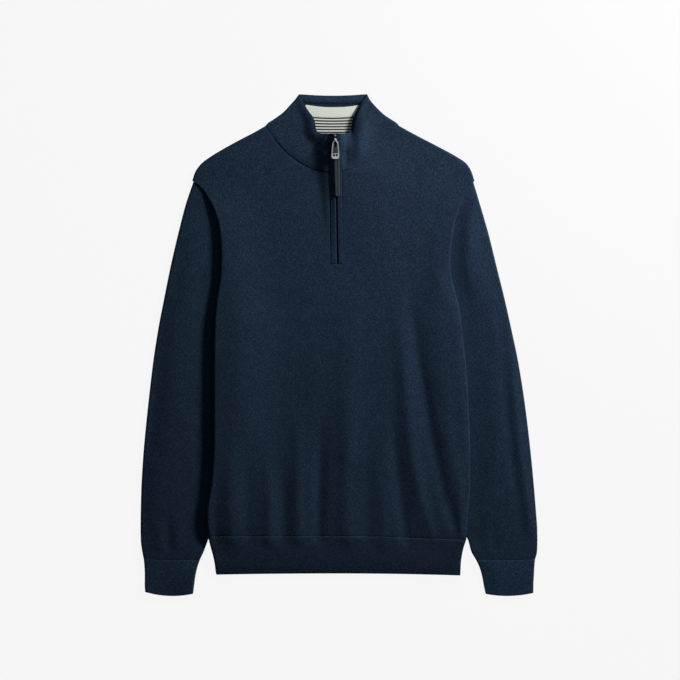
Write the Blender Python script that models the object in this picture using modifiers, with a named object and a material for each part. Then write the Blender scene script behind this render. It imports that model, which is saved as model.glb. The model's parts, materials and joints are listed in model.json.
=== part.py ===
"""Quarter zip sweater, laid flat on its back with its sleeves brought down beside the body.

Sizes are millimetres until a mesh is made, where MM turns them into metres. +X is the wearer's
left, +Y runs up to the collar, +Z is up and the surface it lies on is z = 0. Each piece of cloth
is an outer surface worked out from the tables below, given its wall by a Solidify modifier. Table
columns and side arguments named left and right mean -X and +X.
"""
import math

import bpy
import numpy as np
from mathutils import Matrix

MM = 0.001

# Walls of the cloth
KNIT = 1.6              # body and sleeves
BAND = 2.0              # hem and cuffs, fine rib folded double
COLLAR = 2.2            # collar, knitted double
TAPE = 0.7              # bands inside the collar, and the zip's tape
SEAM = 0.3              # gap between two pieces that are sewn together
CURVED_SEAM = 0.7       # the same where the seam curves, so that straight edges stay clear
NECK_GAP = 1.0          # between the panels and the collar, round the neckline
FOLD_GAP = 0.9          # between the front's and the back's edges along the sides and shoulders

# How the layers lie on each other
MIDDLE = 5.8            # top of the front panel above the floor, away from its edges
EDGE = 3.0              # how far in from a folded edge the cloth is rounded
FALL = (80.0, 42.0)     # how far the body takes to come down from its -X and its +X edge
SHOULDER_TOP = 5.8      # top of the shoulder, at its fold
TUCKED = 4.0            # height of a sleeve where the body lies on it
SLEEVE_PUFF = {"left": 7.4, "right": 6.2}       # height of a sleeve where it lies free
SLEEVE_RAMP = {"left": 42.0, "right": 42.0}     # how far from the body it takes to rise to that
SLEEVE_EDGE = 5.0       # height of a sleeve at its outer fold
CUFF_TOP = 5.2

# The zip's line, and what lies beside it
ZIP_FOOT = (-2.1, 126.3)
ZIP_HEAD = (-5.7, 326.8)
ZIP_GAP = 3.8           # between the two welts
TEETH_WIDTH = 3.0
WELT_LEFT = 8.2         # width of the welt on the -X side
WELT_RIGHT = 6.6        # width of the welt on the +X side
WELT_PROUD = 0.5        # how far the welts stand above the knit
WELT_LEVEL = 3.2        # distance from the zip's middle where the -X welt starts to fall
TAPE_LEVEL = 2.2        # the same for the tape behind it
NECK_FRONT = 266.3      # where the collar's seam meets the zip
ZIP_RISE = 14.2         # how far the front stands up at the zip's head
RISE_POWER = 1.6
WELT_FALL = 4.0         # how far the welt on the -X side falls over its width at the zip's head
CREST = 3.2             # width that stays level beside the welts
FLANK = (6.0, 2.2)      # reach of the ridge's flank to -X: a base, and more for each mm of rise
SLOPE_RIGHT = 120.0     # reach of its slope to +X

# The collar
NECK_MID = -10.3
NECK_BACK = 326.6       # the seam at the back of the neck
NECK_STEP = 12.9        # how far that seam climbs to the shoulders
COLLAR_FOLD = 5.0       # height of the collar at the top of its side folds
COLLAR_FLAT = 8.0       # height of its front where it lies on the back
COLLAR_TOP_SAG = 2.6

# The slider, its puller and the strap on it
HINGE_Y = 316.5
PLATE = (8.0, 12.5, 1.6)
PLATE_CLEAR = 0.4       # between the plate and the welts
AXIS_LIFT = 1.3         # from the plate's top to the hinge's axis
BRIDGE_WIDTH = 2.4
BRIDGE_REACH = 3.0      # outer half length of the bridge, along the zip
BRIDGE_TOP = 2.3        # its top above the axis
BRIDGE_BAR = 1.2        # thickness of its legs
PULLER_THICK = 1.2
PULLER_TILT = math.radians(6.9)
STRAP_WIDTH = 6.6
STRAP_THICK = 1.6
STRAP_END = 230.2
STRAP_LEAN = 1.6        # how far its end swings to +X of the zip


def table(names, *rows):
    """The rows of a table as one array for each named column."""
    return dict(zip(names.split(), np.array(rows, float).T))


# The body as it lies, from the hem up to the shoulder points: the folded side edge up to the
# armpit at y = 30, and above it the armhole's edge.
BODY = table(
    "y left right",
    (-357.6, -189.0, 187.9),
    (-351.9, -191.0, 188.2),
    (-339.5, -192.5, 188.7),
    (-327.1, -195.0, 190.2),
    (-314.7, -198.4, 192.7),
    (-297.6, -202.3, 197.6),
    (-283.7, -203.8, 198.4),
    (-260.4, -204.6, 199.2),
    (-240.3, -202.3, 201.5),
    (-215.5, -197.9, 203.1),
    (-182.9, -195.3, 203.1),
    (-139.5, -193.8, 202.3),
    (-54.3, -193.8, 198.4),
    (23.3, -193.0, 190.6),
    (58.9, -191.2, 185.8),
    (83.7, -187.6, 179.2),
    (108.5, -183.9, 173.6),
    (134.9, -182.9, 172.3),
    (158.1, -183.7, 174.1),
    (186.0, -186.8, 178.8),
    (209.3, -193.8, 185.2),
    (229.4, -203.0, 194.5),
    (246.5, -215.5, 204.0),
    (254.6, -227.4, 209.9),
)

# The armhole's seam, from the armpit up. Below y = 212 it is tucked under the front panel, with
# the armpit pushed in where the sleeve is turned down.
ARMHOLE = table(
    "y left right",
    (36.0, -158.0, 154.0),
    (38.5, -166.0, 162.0),
    (44.0, -173.5, 169.0),
    (52.0, -177.5, 172.5),
    (66.0, -179.5, 174.0),
    (84.0, -179.0, 171.5),
    (108.0, -177.0, 167.5),
    (135.0, -176.5, 166.5),
    (158.0, -177.5, 168.5),
    (186.0, -181.5, 173.8),
    (212.0, -194.9, 186.3),
    (229.4, -203.0, 194.5),
    (246.5, -215.5, 204.0),
    (254.6, -227.4, 209.9),
)

# The back panel's edge above its side fold: in to the armpit, then up the armhole's seam.
BACK_EDGE = table(
    "y left right",
    (9.0, -190.0, 188.5),
    (16.0, -184.0, 181.5),
    (28.0, -166.0, 162.5),
    (36.0, -156.2, 152.2),
    (46.0, -173.0, 168.3),
    (52.0, -176.6, 171.6),
    (66.0, -178.9, 173.4),
    (84.0, -178.6, 171.1),
    (108.0, -176.6, 167.1),
    (135.0, -176.1, 166.1),
    (158.0, -177.1, 168.1),
    (186.0, -181.1, 173.4),
    (212.0, -194.5, 185.9),
    (229.4, -202.6, 194.1),
    (246.5, -215.1, 203.6),
    (254.6, -227.4, 209.9),
)

# The body's heights: the front's top in its middle and along its two side edges, how far its
# rounded edge reaches down, the underside's lift over the sleeve, and how far in the body stays up.
HEIGHTS = table(
    "y middle left right drop lift plateau",
    (-357.6, 4.2, 4.7, 4.7, 2.2, 0.0, 4.0),
    (-342.0, 6.3, 6.8, 6.5, 2.5, 0.9, 4.0),
    (-325.0, 7.0, 7.8, 7.8, 2.8, 1.7, 6.0),
    (-297.6, 7.3, 10.8, 10.0, 3.0, 4.3, 10.0),
    (-280.0, 7.2, 12.9, 10.3, 3.1, 4.5, 20.0),
    (-240.0, 7.0, 14.5, 10.4, 3.1, 4.5, 28.0),
    (-120.0, 7.0, 14.5, 10.4, 3.1, 4.5, 30.0),
    (-40.0, 7.0, 14.5, 10.4, 3.1, 4.5, 33.0),
    (34.0, 6.5, 13.9, 10.2, 3.4, 4.5, 32.0),
    (48.0, 6.4, 13.4, 9.8, 4.0, 1.4, 29.0),
    (62.0, 6.2, 13.0, 9.5, 4.3, 0.0, 24.0),
    (95.0, 5.9, 12.4, 9.3, 4.3, 0.0, 12.0),
    (126.0, 5.8, 12.0, 9.3, 4.3, 0.0, 4.0),
    (158.0, 5.8, 11.5, 9.2, 4.1, 0.0, 0.0),
    (186.0, 5.8, 10.6, 8.6, 3.1, 0.0, 0.0),
    (209.3, 5.8, 9.4, 7.5, 1.7, 0.0, 0.0),
    (229.4, 5.8, 7.8, 6.4, 0.6, 0.0, 0.0),
    (254.6, 5.8, 5.8, 5.8, 0.0, 0.0, 0.0),
)

# The shoulders' outline, from the armhole to the collar.
SHOULDER = table(
    "y left right",
    (254.6, -227.4, 209.9),
    (268.2, -222.7, 205.4),
    (280.6, -213.7, 197.9),
    (293.0, -197.2, 180.1),
    (305.4, -176.5, 157.3),
    (317.8, -153.8, 133.5),
    (330.2, -130.0, 110.0),
    (339.5, -113.9, 93.3),
)

# The collar's side folds, from the shoulder to its top corners.
COLLAR_SIDE = table(
    "y left right",
    (339.5, -113.9, 93.3),
    (344.1, -109.9, 89.3),
    (348.8, -102.6, 82.0),
    (353.4, -95.8, 74.9),
    (358.0, -89.4, 68.7),
    (362.7, -84.2, 63.4),
    (372.0, -75.6, 54.4),
    (381.3, -67.3, 47.2),
    (388.7, -62.0, 43.7),
)

# The front neckline's seam on the -X side; the other side mirrors it about NECK_MID.
NECKLINE = table(
    "x y",
    (-113.9, 339.5),
    (-103.9, 325.8),
    (-89.9, 306.0),
    (-70.1, 288.3),
    (-50.4, 276.4),
    (-30.5, 268.8),
    (-12.3, 266.3),
)

# The collar's top edge in front, from a side fold to the zip.
COLLAR_EDGE = table(
    "left left_y left_z right right_y right_z",
    (-62.0, 388.7, 5.0, 43.7, 388.7, 5.0),
    (-53.8, 373.0, 6.6, 32.6, 373.0, 5.4),
    (-46.8, 361.8, 8.4, 25.9, 361.5, 5.6),
    (-40.4, 353.0, 9.9, 21.9, 352.8, 5.9),
    (-37.2, 345.0, 10.8, 19.8, 344.0, 6.4),
    (-35.4, 334.5, 11.4, 18.4, 333.5, 7.4),
    (-31.5, 328.2, 12.2, 14.8, 328.0, 9.0),
    (-24.0, 326.9, 13.8, 8.0, 326.9, 13.0),
    (-15.8, 326.8, 16.0, 2.8, 326.8, 20.0),
)

# Sections of the sleeves, from the cuff's seam to the armhole: the outer and the inner fold.
SLEEVE_RIGHT = table(
    "outer_x outer_y inner_x inner_y",
    (-302.6, -331.9, -215.1, -331.9),
    (-304.9, -320.0, -209.6, -320.0),
    (-307.1, -303.0, -203.0, -302.5),
    (-307.5, -285.0, -196.5, -287.0),
    (-307.3, -262.0, -187.5, -266.0),
    (-306.4, -225.0, -181.5, -232.0),
    (-303.6, -175.0, -180.0, -188.0),
    (-299.3, -127.0, -178.5, -150.0),
    (-294.0, -77.0, -176.5, -114.0),
    (-287.8, -25.0, -174.5, -82.0),
    (-280.5, 25.0, -171.5, -54.0),
    (-271.7, 73.0, -168.0, -30.0),
    (-262.3, 122.0, -164.0, -9.0),
    (-251.7, 170.0, -161.0, 8.0),
    (-239.8, 218.0, -159.2, 23.0),
    (-228.1, 254.0, -158.7, 35.4),
)
SLEEVE_LEFT = table(
    "outer_x outer_y inner_x inner_y",
    (303.9, -331.9, 211.6, -331.9),
    (306.9, -320.0, 205.0, -320.0),
    (307.5, -303.0, 199.6, -301.5),
    (307.2, -285.0, 191.5, -287.0),
    (305.6, -262.0, 184.0, -266.0),
    (302.6, -225.0, 180.0, -232.0),
    (297.9, -175.0, 179.0, -188.0),
    (292.6, -127.0, 177.5, -150.0),
    (286.0, -77.0, 175.5, -114.0),
    (277.5, -25.0, 172.5, -82.0),
    (267.5, 25.0, 168.5, -54.0),
    (257.2, 73.0, 164.0, -30.0),
    (245.5, 122.0, 160.0, -9.0),
    (234.2, 170.0, 157.0, 8.0),
    (220.9, 218.0, 155.2, 23.0),
    (210.6, 254.0, 154.7, 35.4),
)

# Sections of the cuffs, from the seam to the end, and how far each bows down in its middle.
CUFF_RIGHT = table(
    "outer_x outer_y inner_x inner_y bow",
    (-302.5, -332.5, -215.2, -332.5, 0.0),
    (-301.4, -344.0, -219.3, -344.0, 0.6),
    (-301.0, -358.0, -222.5, -358.5, 1.6),
    (-301.1, -371.0, -224.4, -373.0, 3.0),
    (-300.4, -382.6, -225.9, -385.2, 4.8),
)
CUFF_LEFT = table(
    "outer_x outer_y inner_x inner_y bow",
    (303.8, -332.5, 211.9, -332.5, 0.0),
    (302.7, -344.0, 217.5, -344.0, 0.6),
    (302.0, -358.0, 221.7, -358.5, 1.4),
    (301.3, -371.0, 224.4, -373.0, 2.4),
    (301.2, -384.0, 227.1, -385.6, 3.9),
)

# The body's main folds: from the top end to the low end, how far the line bows to +X between
# them, its half width and its height, negative for a trough.
FOLDS = table(
    "top_x top_y low_x low_y bow width height",
    (-186.0, -205.0, -181.0, -335.0, 0.0, 9.0, -1.2),
    (-168.0, -150.0, -163.0, -340.0, 0.0, 11.0, 1.6),
    (-142.0, -170.0, -139.0, -335.0, 0.0, 11.0, -1.7),
    (-114.0, -185.0, -112.0, -335.0, 0.0, 10.0, 1.5),
    (-88.0, -190.0, -87.0, -330.0, 0.0, 10.0, -1.8),
    (-64.0, -175.0, -62.0, -335.0, 0.0, 10.0, 1.9),
    (-30.0, -110.0, -35.0, -330.0, 0.0, 11.0, -2.3),
    (16.0, -30.0, 13.0, -335.0, 0.0, 17.0, 1.9),
    (46.0, -150.0, 42.0, -330.0, 0.0, 12.0, -1.6),
    (66.0, -190.0, 72.0, -330.0, 2.0, 10.0, 1.7),
    (72.0, 60.0, 106.0, -325.0, -2.0, 11.0, -2.5),
    (88.0, 55.0, 148.0, -330.0, -8.0, 11.0, 2.7),
    (106.0, 110.0, 178.0, -320.0, -4.0, 11.0, -2.4),
)


def smooth(xs, ys, at):
    """A curve through the points (xs, ys) that doesn't overshoot them, read at the places at."""
    slope = np.diff(ys) / np.diff(xs)
    before, after = slope[:-1], slope[1:]
    bend = np.zeros_like(before)
    same = before * after > 0
    np.divide(2 * before * after, before + after, out=bend, where=same)
    tangent = np.concatenate(([slope[0]], bend, [slope[-1]]))
    at = np.clip(at, xs[0], xs[-1])
    i = np.clip(np.searchsorted(xs, at, side="right") - 1, 0, len(slope) - 1)
    width = xs[i + 1] - xs[i]
    t = (at - xs[i]) / width
    rise = (2 * t**3 - 3 * t**2 + 1) * ys[i] + (3 * t**2 - 2 * t**3) * ys[i + 1]
    return rise + width * ((t**3 - 2 * t**2 + t) * tangent[i] + (t**3 - t**2) * tangent[i + 1])


def read(source, column, at):
    """A column of a table that runs along y, at the heights at."""
    return smooth(source["y"], source[column], at)


def ease(t):
    """0 below 0, 1 above 1 and soft between."""
    t = np.clip(t, 0.0, 1.0)
    return t * t * (3.0 - 2.0 * t)


def lerp(a, b, t):
    """The value at share t of the way from a to b."""
    return a + (b - a) * t


def rounded(distance, reach, drop):
    """How far a folded edge has come down at a distance in from it: a quarter of an ellipse."""
    short = np.clip(1.0 - distance / reach, 0.0, 1.0)
    return drop * (1.0 - np.sqrt(1.0 - short**2))


def along(points, shares):
    """Points at the given shares of a polyline's length."""
    steps = np.linalg.norm(np.diff(points[:, :2], axis=0), axis=1)
    length = np.concatenate(([0.0], np.cumsum(steps)))
    at = np.asarray(shares) * length[-1]
    return np.stack([np.interp(at, length, column) for column in points.T], axis=-1)


def fine(points, count=80):
    """A polyline's points, drawn as one soft curve."""
    index = np.arange(len(points), dtype=float)
    at = np.linspace(0, len(points) - 1, count)
    return np.stack([smooth(index, column, at) for column in points.T], axis=-1)


def blend(bottom, top, left, right, across, up):
    """A grid of points between four rows of edge points, at the shares across and up."""
    s = np.asarray(across)[None, :, None]
    t = np.asarray(up)[:, None, None]
    corners = lerp(lerp(bottom[0], bottom[-1], s), lerp(top[0], top[-1], s), t)
    return lerp(bottom[None], top[None], t) + lerp(left[:, None], right[:, None], s) - corners


def patch(bottom, top, left, right, across, up):
    """A grid of points between four edge curves, read at the shares across and up."""
    return blend(along(bottom, across), along(top, across), along(left, up), along(right, up), across, up)


# ---------------------------------------------------------------------- heights of the body


def inward(x, y):
    """How far in from the nearer side edge of the body a point lies."""
    return np.minimum(x - read(BODY, "left", y), read(BODY, "right", y) - x)


def below_shoulder(x, y):
    """How far a point lies inside the shoulders' outline."""
    step = 0.5
    left, right = read(SHOULDER, "left", y), read(SHOULDER, "right", y)
    lean_left = (left - read(SHOULDER, "left", y - step)) / step
    lean_right = (right - read(SHOULDER, "right", y - step)) / step
    return np.minimum((x - left) / np.sqrt(1.0 + lean_left**2), (right - x) / np.sqrt(1.0 + lean_right**2))


def fold_height(x, y):
    """The body's folds at a point: each fades in at its top and runs out into the hem."""
    total = np.zeros(np.shape(x))
    for i in range(len(FOLDS["height"])):
        f = {name: column[i] for name, column in FOLDS.items()}
        t = (f["top_y"] - y) / (f["top_y"] - f["low_y"])
        course = lerp(f["top_x"], f["low_x"], t) + 4.0 * f["bow"] * t * (1.0 - t)
        fade = ease(t / 0.45) * ease((1.0 - t) / 0.12)
        total = total + f["height"] * fade * np.exp(-(((x - course) / f["width"]) ** 2))
    return total


def raised(x, y):
    """Share of the edge's height that the body keeps at a point."""
    fall = np.where(x < NECK_MID, FALL[0], FALL[1])
    return 1.0 - ease((inward(x, y) - read(HEIGHTS, "plateau", y)) / fall)


def flank(gap, rise):
    """Height of a ridge's steep side at a distance from its edge, where it starts flat."""
    return rise * (1.0 - ease((gap - CREST) / (FLANK[0] + FLANK[1] * rise)))


def zip_ridge(x, y):
    """How far the chest is lifted beside the zip: a steep flank to -X, a long slope to +X."""
    below = np.minimum(y, NECK_FRONT)
    left = flank(np.maximum(slit_left(y) - x, 0.0), ridge_left(below) - MIDDLE)
    right = (zip_surface(below) - MIDDLE) * (1.0 - ease((x - slit_right(y) - CREST) / SLOPE_RIGHT))
    return np.where(x < zip_x(y), left, right) * (1.0 - ease((y - NECK_FRONT) / 55.0))


def side_top(x, y):
    """Top of the front panel at the side edge that is nearer to a point."""
    return np.where(x < NECK_MID, read(HEIGHTS, "left", y), read(HEIGHTS, "right", y))


def body_crown(x, y):
    """Top of the front panel or hem, without its rounded edges."""
    shoulder = ease((y - 225.0) / 60.0) * ease((np.abs(x - NECK_MID) - 40.0) / 60.0)
    crown = lerp(read(HEIGHTS, "middle", y), SHOULDER_TOP, shoulder)
    crown += (side_top(x, y) - crown) * raised(x, y)
    return crown + zip_ridge(x, y) + fold_height(x, y)


def body_top(x, y):
    """Outer surface of the front panel and of the hem's front."""
    drop = rounded(inward(x, y), EDGE, read(HEIGHTS, "drop", y))
    shoulder = rounded(below_shoulder(x, y), EDGE, (SHOULDER_TOP - FOLD_GAP) / 2)
    return body_crown(x, y) - np.maximum(drop, shoulder)


def body_under(x, y):
    """Outer surface of the back panel and of the hem's back, which face the floor."""
    top = side_top(x, y) - read(HEIGHTS, "drop", y) - FOLD_GAP
    lift = read(HEIGHTS, "lift", y)
    rise = rounded(inward(x, y), EDGE, top - lift) * ease((24.0 - y) / 20.0)
    shoulder = rounded(below_shoulder(x, y), EDGE, (SHOULDER_TOP - FOLD_GAP) / 2)
    return lift * raised(x, y) + np.maximum(rise, shoulder)


def seam_y(x):
    """The hem band's seam."""
    return -296.5 - 5.0 * ease((x - 20.0) / 180.0)


def hem_y(x):
    """The hem's lower edge."""
    return -353.9 - np.where(x < 0, 1.8, 3.2) * (x / 190.0) ** 2


# ---------------------------------------------------------------------- the zip's line


def zip_x(y):
    """The middle of the zip."""
    return lerp(ZIP_FOOT[0], ZIP_HEAD[0], (y - ZIP_FOOT[1]) / (ZIP_HEAD[1] - ZIP_FOOT[1]))


def zip_share(y):
    """How far up the zip a point is, from 0 at its foot to 1 at its head."""
    return np.clip((y - ZIP_FOOT[1]) / (ZIP_HEAD[1] - ZIP_FOOT[1]), 0.0, None)


def zip_surface(y):
    """Height of the cloth beside the zip, which rises from the chest to the collar's top."""
    return MIDDLE + ZIP_RISE * zip_share(y)**RISE_POWER


def welt_fall(across, y, level):
    """How far the welt on the -X side has fallen at a distance from the zip, past a level part."""
    reach = ZIP_GAP / 2 + WELT_LEFT - level
    return WELT_FALL * zip_share(y) * np.clip((-level - across) / reach, 0.0, 1.0)


def ridge_left(y):
    """Height of the cloth beside the -X welt."""
    return zip_surface(y) - WELT_FALL * zip_share(y)


def slit_left(y):
    """Edge of the slit on the -X side."""
    return zip_x(y) - ZIP_GAP / 2 - WELT_LEFT - SEAM


def slit_right(y):
    """Edge of the slit on the +X side."""
    return zip_x(y) + ZIP_GAP / 2 + WELT_RIGHT + SEAM


# ---------------------------------------------------------------------- outlines in plan


def line(start, end):
    """A straight edge curve between two points."""
    return np.array([start, end], float)


def neckline(side):
    """Front neckline from the shoulder to the zip, on one side."""
    x, y = NECKLINE["x"].copy(), NECKLINE["y"]
    if side == "right":
        x = 2 * NECK_MID - x
        x[0] = SHOULDER["right"][-1]
    x[-1] = slit_left(NECK_FRONT) if side == "left" else slit_right(NECK_FRONT)
    return fine(np.stack([x, y], axis=-1))


def outline(source, side, low=None, high=None):
    """One side of a table that runs along y, as a curve of points."""
    low = source["y"][0] if low is None else low
    high = source["y"][-1] if high is None else high
    y = np.linspace(low, high, 400)
    return np.stack([read(source, side, y), y], axis=-1)


def armhole_seam(side):
    """The armhole's seam as the sleeve has it, from the shoulder down to the armpit."""
    out = -1.0 if side == "left" else 1.0
    return outline(ARMHOLE, side)[::-1] + np.array([out * CURVED_SEAM, -0.6])


# ---------------------------------------------------------------------- making objects


def material(name, colour, roughness=0.9, metallic=0.0):
    """A plain Principled material."""
    made = bpy.data.materials.new(name)
    made.use_nodes = True
    shader = made.node_tree.nodes["Principled BSDF"]
    shader.inputs["Base Color"].default_value = (*colour, 1.0)
    shader.inputs["Roughness"].default_value = roughness
    shader.inputs["Metallic"].default_value = metallic
    return made


def add_object(name, data, finish, collection):
    """Put new mesh or curve data into the scene as one named object."""
    made = bpy.data.objects.new(name, data)
    data.materials.append(finish)
    collection.objects.link(made)
    return made


def add_cloth(name, grid, wall, finish, closed=False, turned=False, skip=()):
    """A sheet through a grid of outer points, with a wall on its inner side.

    closed joins the last column to the first, turned faces the sheet the other way, and skip
    holds the (row, column) of quads that are left out.
    """
    rows, columns = grid.shape[:2]
    faces = []
    for i in range(rows - 1):
        for j in range(columns if closed else columns - 1):
            k = (j + 1) % columns
            quad = [i * columns + j, i * columns + k, (i + 1) * columns + k, (i + 1) * columns + j]
            if (i, j) not in skip:
                faces.append(quad[::-1] if turned else quad)
    mesh = bpy.data.meshes.new(name)
    mesh.from_pydata((grid.reshape(-1, 3) * MM).tolist(), [], faces)
    mesh.shade_smooth()
    made = add_object(name, mesh, finish, PARTS)
    solid = made.modifiers.new("wall", "SOLIDIFY")
    solid.thickness = wall * MM
    solid.offset = -1.0
    return made


def with_height(plan, height):
    """A grid of plan points with the height that a function gives them."""
    z = height(plan[..., 0], plan[..., 1])
    return np.concatenate([plan, z[..., None]], axis=-1)


# ---------------------------------------------------------------------- the body

# Columns of the body, as shares of a half that is HALF wide: close together at the folded side
# edge, with one of them at NECK_SHARE, where the shoulder's fold meets the neckline, and one beside it.
HALF = 190.0
NECK_SHARE = 0.55
EDGE_STEPS = np.array([0.0, 0.02, 0.9, EDGE])
FRONT_COLUMNS = np.concatenate([EDGE_STEPS / HALF, np.linspace(0.07, NECK_SHARE, 8),
                                [NECK_SHARE + 0.012], np.linspace(NECK_SHARE, 1.0, 8)[1:-1],
                                [1.0 - CREST / HALF, 1.0]])
BACK_COLUMNS = FRONT_COLUMNS[[0, 1, 2, 3, 4, 5, 6, 8, 11, 12, 14, 16, 18, 20]]

# Rows of both panels: heights at the middle up to the zip's foot, then shares of what is above.
LOW_ROWS = np.array([-297.6, -288.0, -272.0, -248.0, -215.0, -180.0, -140.0, -100.0, -60.0, -25.0,
                     2.0, 16.0, 28.0, 36.0, 46.0, 62.0, 90.0, ZIP_FOOT[1]])
HIGH_ROWS = np.array([0.0, 0.2, 0.4, 0.58, 0.74, 0.87, 1.0])


def neck_stations(neck, columns):
    """The points of a neckline that a panel has a column at, from the shoulder inward."""
    shares = (columns[columns >= NECK_SHARE - 1e-6] - NECK_SHARE) / (1.0 - NECK_SHARE)
    return along(neck, shares)


def half_top(side, neck, columns):
    """Top of half a panel, a point for each column: the shoulder's fold, then the neckline."""
    near = columns < NECK_SHARE - 1e-6
    shoulder = along(outline(SHOULDER, side), columns[near] / NECK_SHARE)
    return np.concatenate([shoulder, neck_stations(neck, columns)])


def front_edge(side, y):
    """The front panel's edge at the heights y."""
    return read(BODY, side, y)


def back_edge(side, y):
    """The back panel's edge at the heights y."""
    return np.where(y < BACK_EDGE["y"][0], read(BODY, side, y), read(BACK_EDGE, side, y))


def shoulder_row(top, side_edge, near, step):
    """The top of half a panel moved into the panel by a step, its first near points squarely."""
    row = top - np.array([0.0, step])
    run = np.gradient(top, axis=0)[:near]
    inside = np.stack([run[:, 1], -run[:, 0]], axis=-1) * np.sign(run[:, :1])
    row[:near] = top[:near] + inside / np.linalg.norm(inside, axis=-1, keepdims=True) * step
    length = np.sum(np.linalg.norm(np.diff(side_edge, axis=0), axis=1))
    row[0] = along(side_edge, [1.0 - step / length])[0]
    return row


def half_panel(side, edge, neck, middle, columns):
    """Plan grid of one half of a panel above the zip's foot, its columns running inward."""
    top = half_top(side, neck, columns)
    near = int(np.sum(columns < NECK_SHARE - 1e-6))
    y = np.linspace(ZIP_FOOT[1], BODY["y"][-1], 400)
    full = np.stack([edge(side, y), y], axis=-1)
    rows = [shoulder_row(top, full, near, step) for step in EDGE_STEPS[::-1]]
    length = np.sum(np.linalg.norm(np.diff(full, axis=0), axis=1))
    side_edge = along(full, HIGH_ROWS * (1.0 - EDGE / length))
    bottom = line(side_edge[0], (middle(ZIP_FOOT[1]), ZIP_FOOT[1]))
    inner = line(bottom[-1], rows[0][-1])
    grid = blend(along(bottom, columns), rows[0], side_edge, along(inner, HIGH_ROWS), columns, HIGH_ROWS)
    return np.concatenate([grid, np.array(rows[1:])])


def lower_rows(edge, columns, middle_left, middle_right):
    """Plan grid of a panel from the hem's seam up to the zip's foot, across its whole width."""
    lines = []
    top = LOW_ROWS[-1]
    for row in LOW_ROWS:
        share = (row - LOW_ROWS[0]) / (top - LOW_ROWS[0])
        halves = []
        for side, middle in (("left", middle_left), ("right", middle_right)):
            x = lerp(edge(side, row), middle(row), columns)
            y = lerp(seam_y(x) + CURVED_SEAM / 2, top, share)
            halves.append(np.stack([lerp(edge(side, y), middle(y), columns), y], axis=-1))
        lines.append(np.concatenate([halves[0], halves[1][::-1]]))
    return np.array(lines)


def make_front(knit):
    """Front panel: one piece of knit, slit down its middle for the zip."""
    columns = FRONT_COLUMNS
    lower = lower_rows(front_edge, columns, slit_left, slit_right)
    left = half_panel("left", front_edge, neckline("left"), slit_left, columns)
    right = half_panel("right", front_edge, neckline("right"), slit_right, columns)
    upper = np.concatenate([left, right[:, ::-1]], axis=1)
    plan = np.concatenate([lower, upper[1:]])
    middle = len(columns) - 1
    slit = {(i, middle) for i in range(len(LOW_ROWS) - 1, len(plan))}
    add_cloth("front_panel", with_height(plan, body_top), KNIT, knit, skip=slit)


def back_neck(side):
    """Back neckline from the shoulder to the middle of the neck."""
    start = SHOULDER[side][-1]
    x = np.linspace(start, NECK_MID, 40)
    share = (x - NECK_MID) / (start - NECK_MID)
    return np.stack([x, NECK_BACK + NECK_STEP * share**4], axis=-1)


def make_back(knit):
    """Back panel: it lies on the floor, and over the sleeves at its side edges."""
    columns = BACK_COLUMNS

    def middle(y):
        return np.full(np.shape(y), NECK_MID)

    lower = lower_rows(back_edge, columns, middle, middle)
    left = half_panel("left", back_edge, back_neck("left"), middle, columns)
    right = half_panel("right", back_edge, back_neck("right"), middle, columns)
    upper = np.concatenate([left, right[:, ::-1]], axis=1)
    plan = np.concatenate([lower, upper[1:]])
    plan = np.delete(plan, len(columns), axis=1)
    add_cloth("back_panel", with_height(plan, body_under), KNIT, knit, turned=True)


def make_hem(rib):
    """Hem band: a flattened ring of rib below both panels."""
    share = np.concatenate([FRONT_COLUMNS * 0.5, 1.0 - FRONT_COLUMNS[::-1][1:] * 0.5])
    under = np.concatenate([BACK_COLUMNS * 0.5, 1.0 - BACK_COLUMNS[::-1][1:] * 0.5])[::-1][1:-1]
    grid = []
    for drop in np.linspace(1.0, 0.0, 5):
        ring = []
        for part, height in ((share, body_top), (under, body_under)):
            y = lerp(LOW_ROWS[0], -355.6, drop)
            for _ in range(2):
                x = lerp(read(BODY, "left", y), read(BODY, "right", y), part)
                y = lerp(seam_y(x) - CURVED_SEAM / 2, hem_y(x), drop)
            ring.append(with_height(np.stack([x, y], axis=-1), height))
        grid.append(np.concatenate(ring))
    add_cloth("hem_band", np.array(grid), BAND, rib, closed=True)


# ---------------------------------------------------------------------- sleeves and cuffs


FOLD_STEPS = np.array([0.0, 0.7])
ACROSS = np.array([0.05, 0.13, 0.22, 0.33, 0.46, 0.6, 0.73, 0.83, 0.9, 0.955])
UNDER = [1, 2, 4, 6, 8, 10, 11, 12, 14]


def tube_shares(length, edge, outer_sine, inner_sine):
    """Columns across a tube, close together on its two folds, and how deep in from a fold each is."""
    start = np.append(FOLD_STEPS, edge) / (length * outer_sine)
    end = np.append(FOLD_STEPS, edge) / (length * inner_sine)
    middle = lerp(start[-1], 1.0 - end[-1], ACROSS)
    depth = np.concatenate([FOLD_STEPS, [edge], np.full(len(middle), length), [edge], FOLD_STEPS[::-1]])
    return np.concatenate([start, middle, 1.0 - end[::-1]]), depth


def tube_ring(plan, crown, depth, edge):
    """One ring of a flattened tube: over its top, and back underneath with fewer columns."""
    fold = rounded(depth, edge, crown / 2)
    over = np.column_stack([plan, crown - fold])
    under = np.column_stack([plan, fold])
    return np.concatenate([over, under[UNDER][::-1]])


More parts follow.
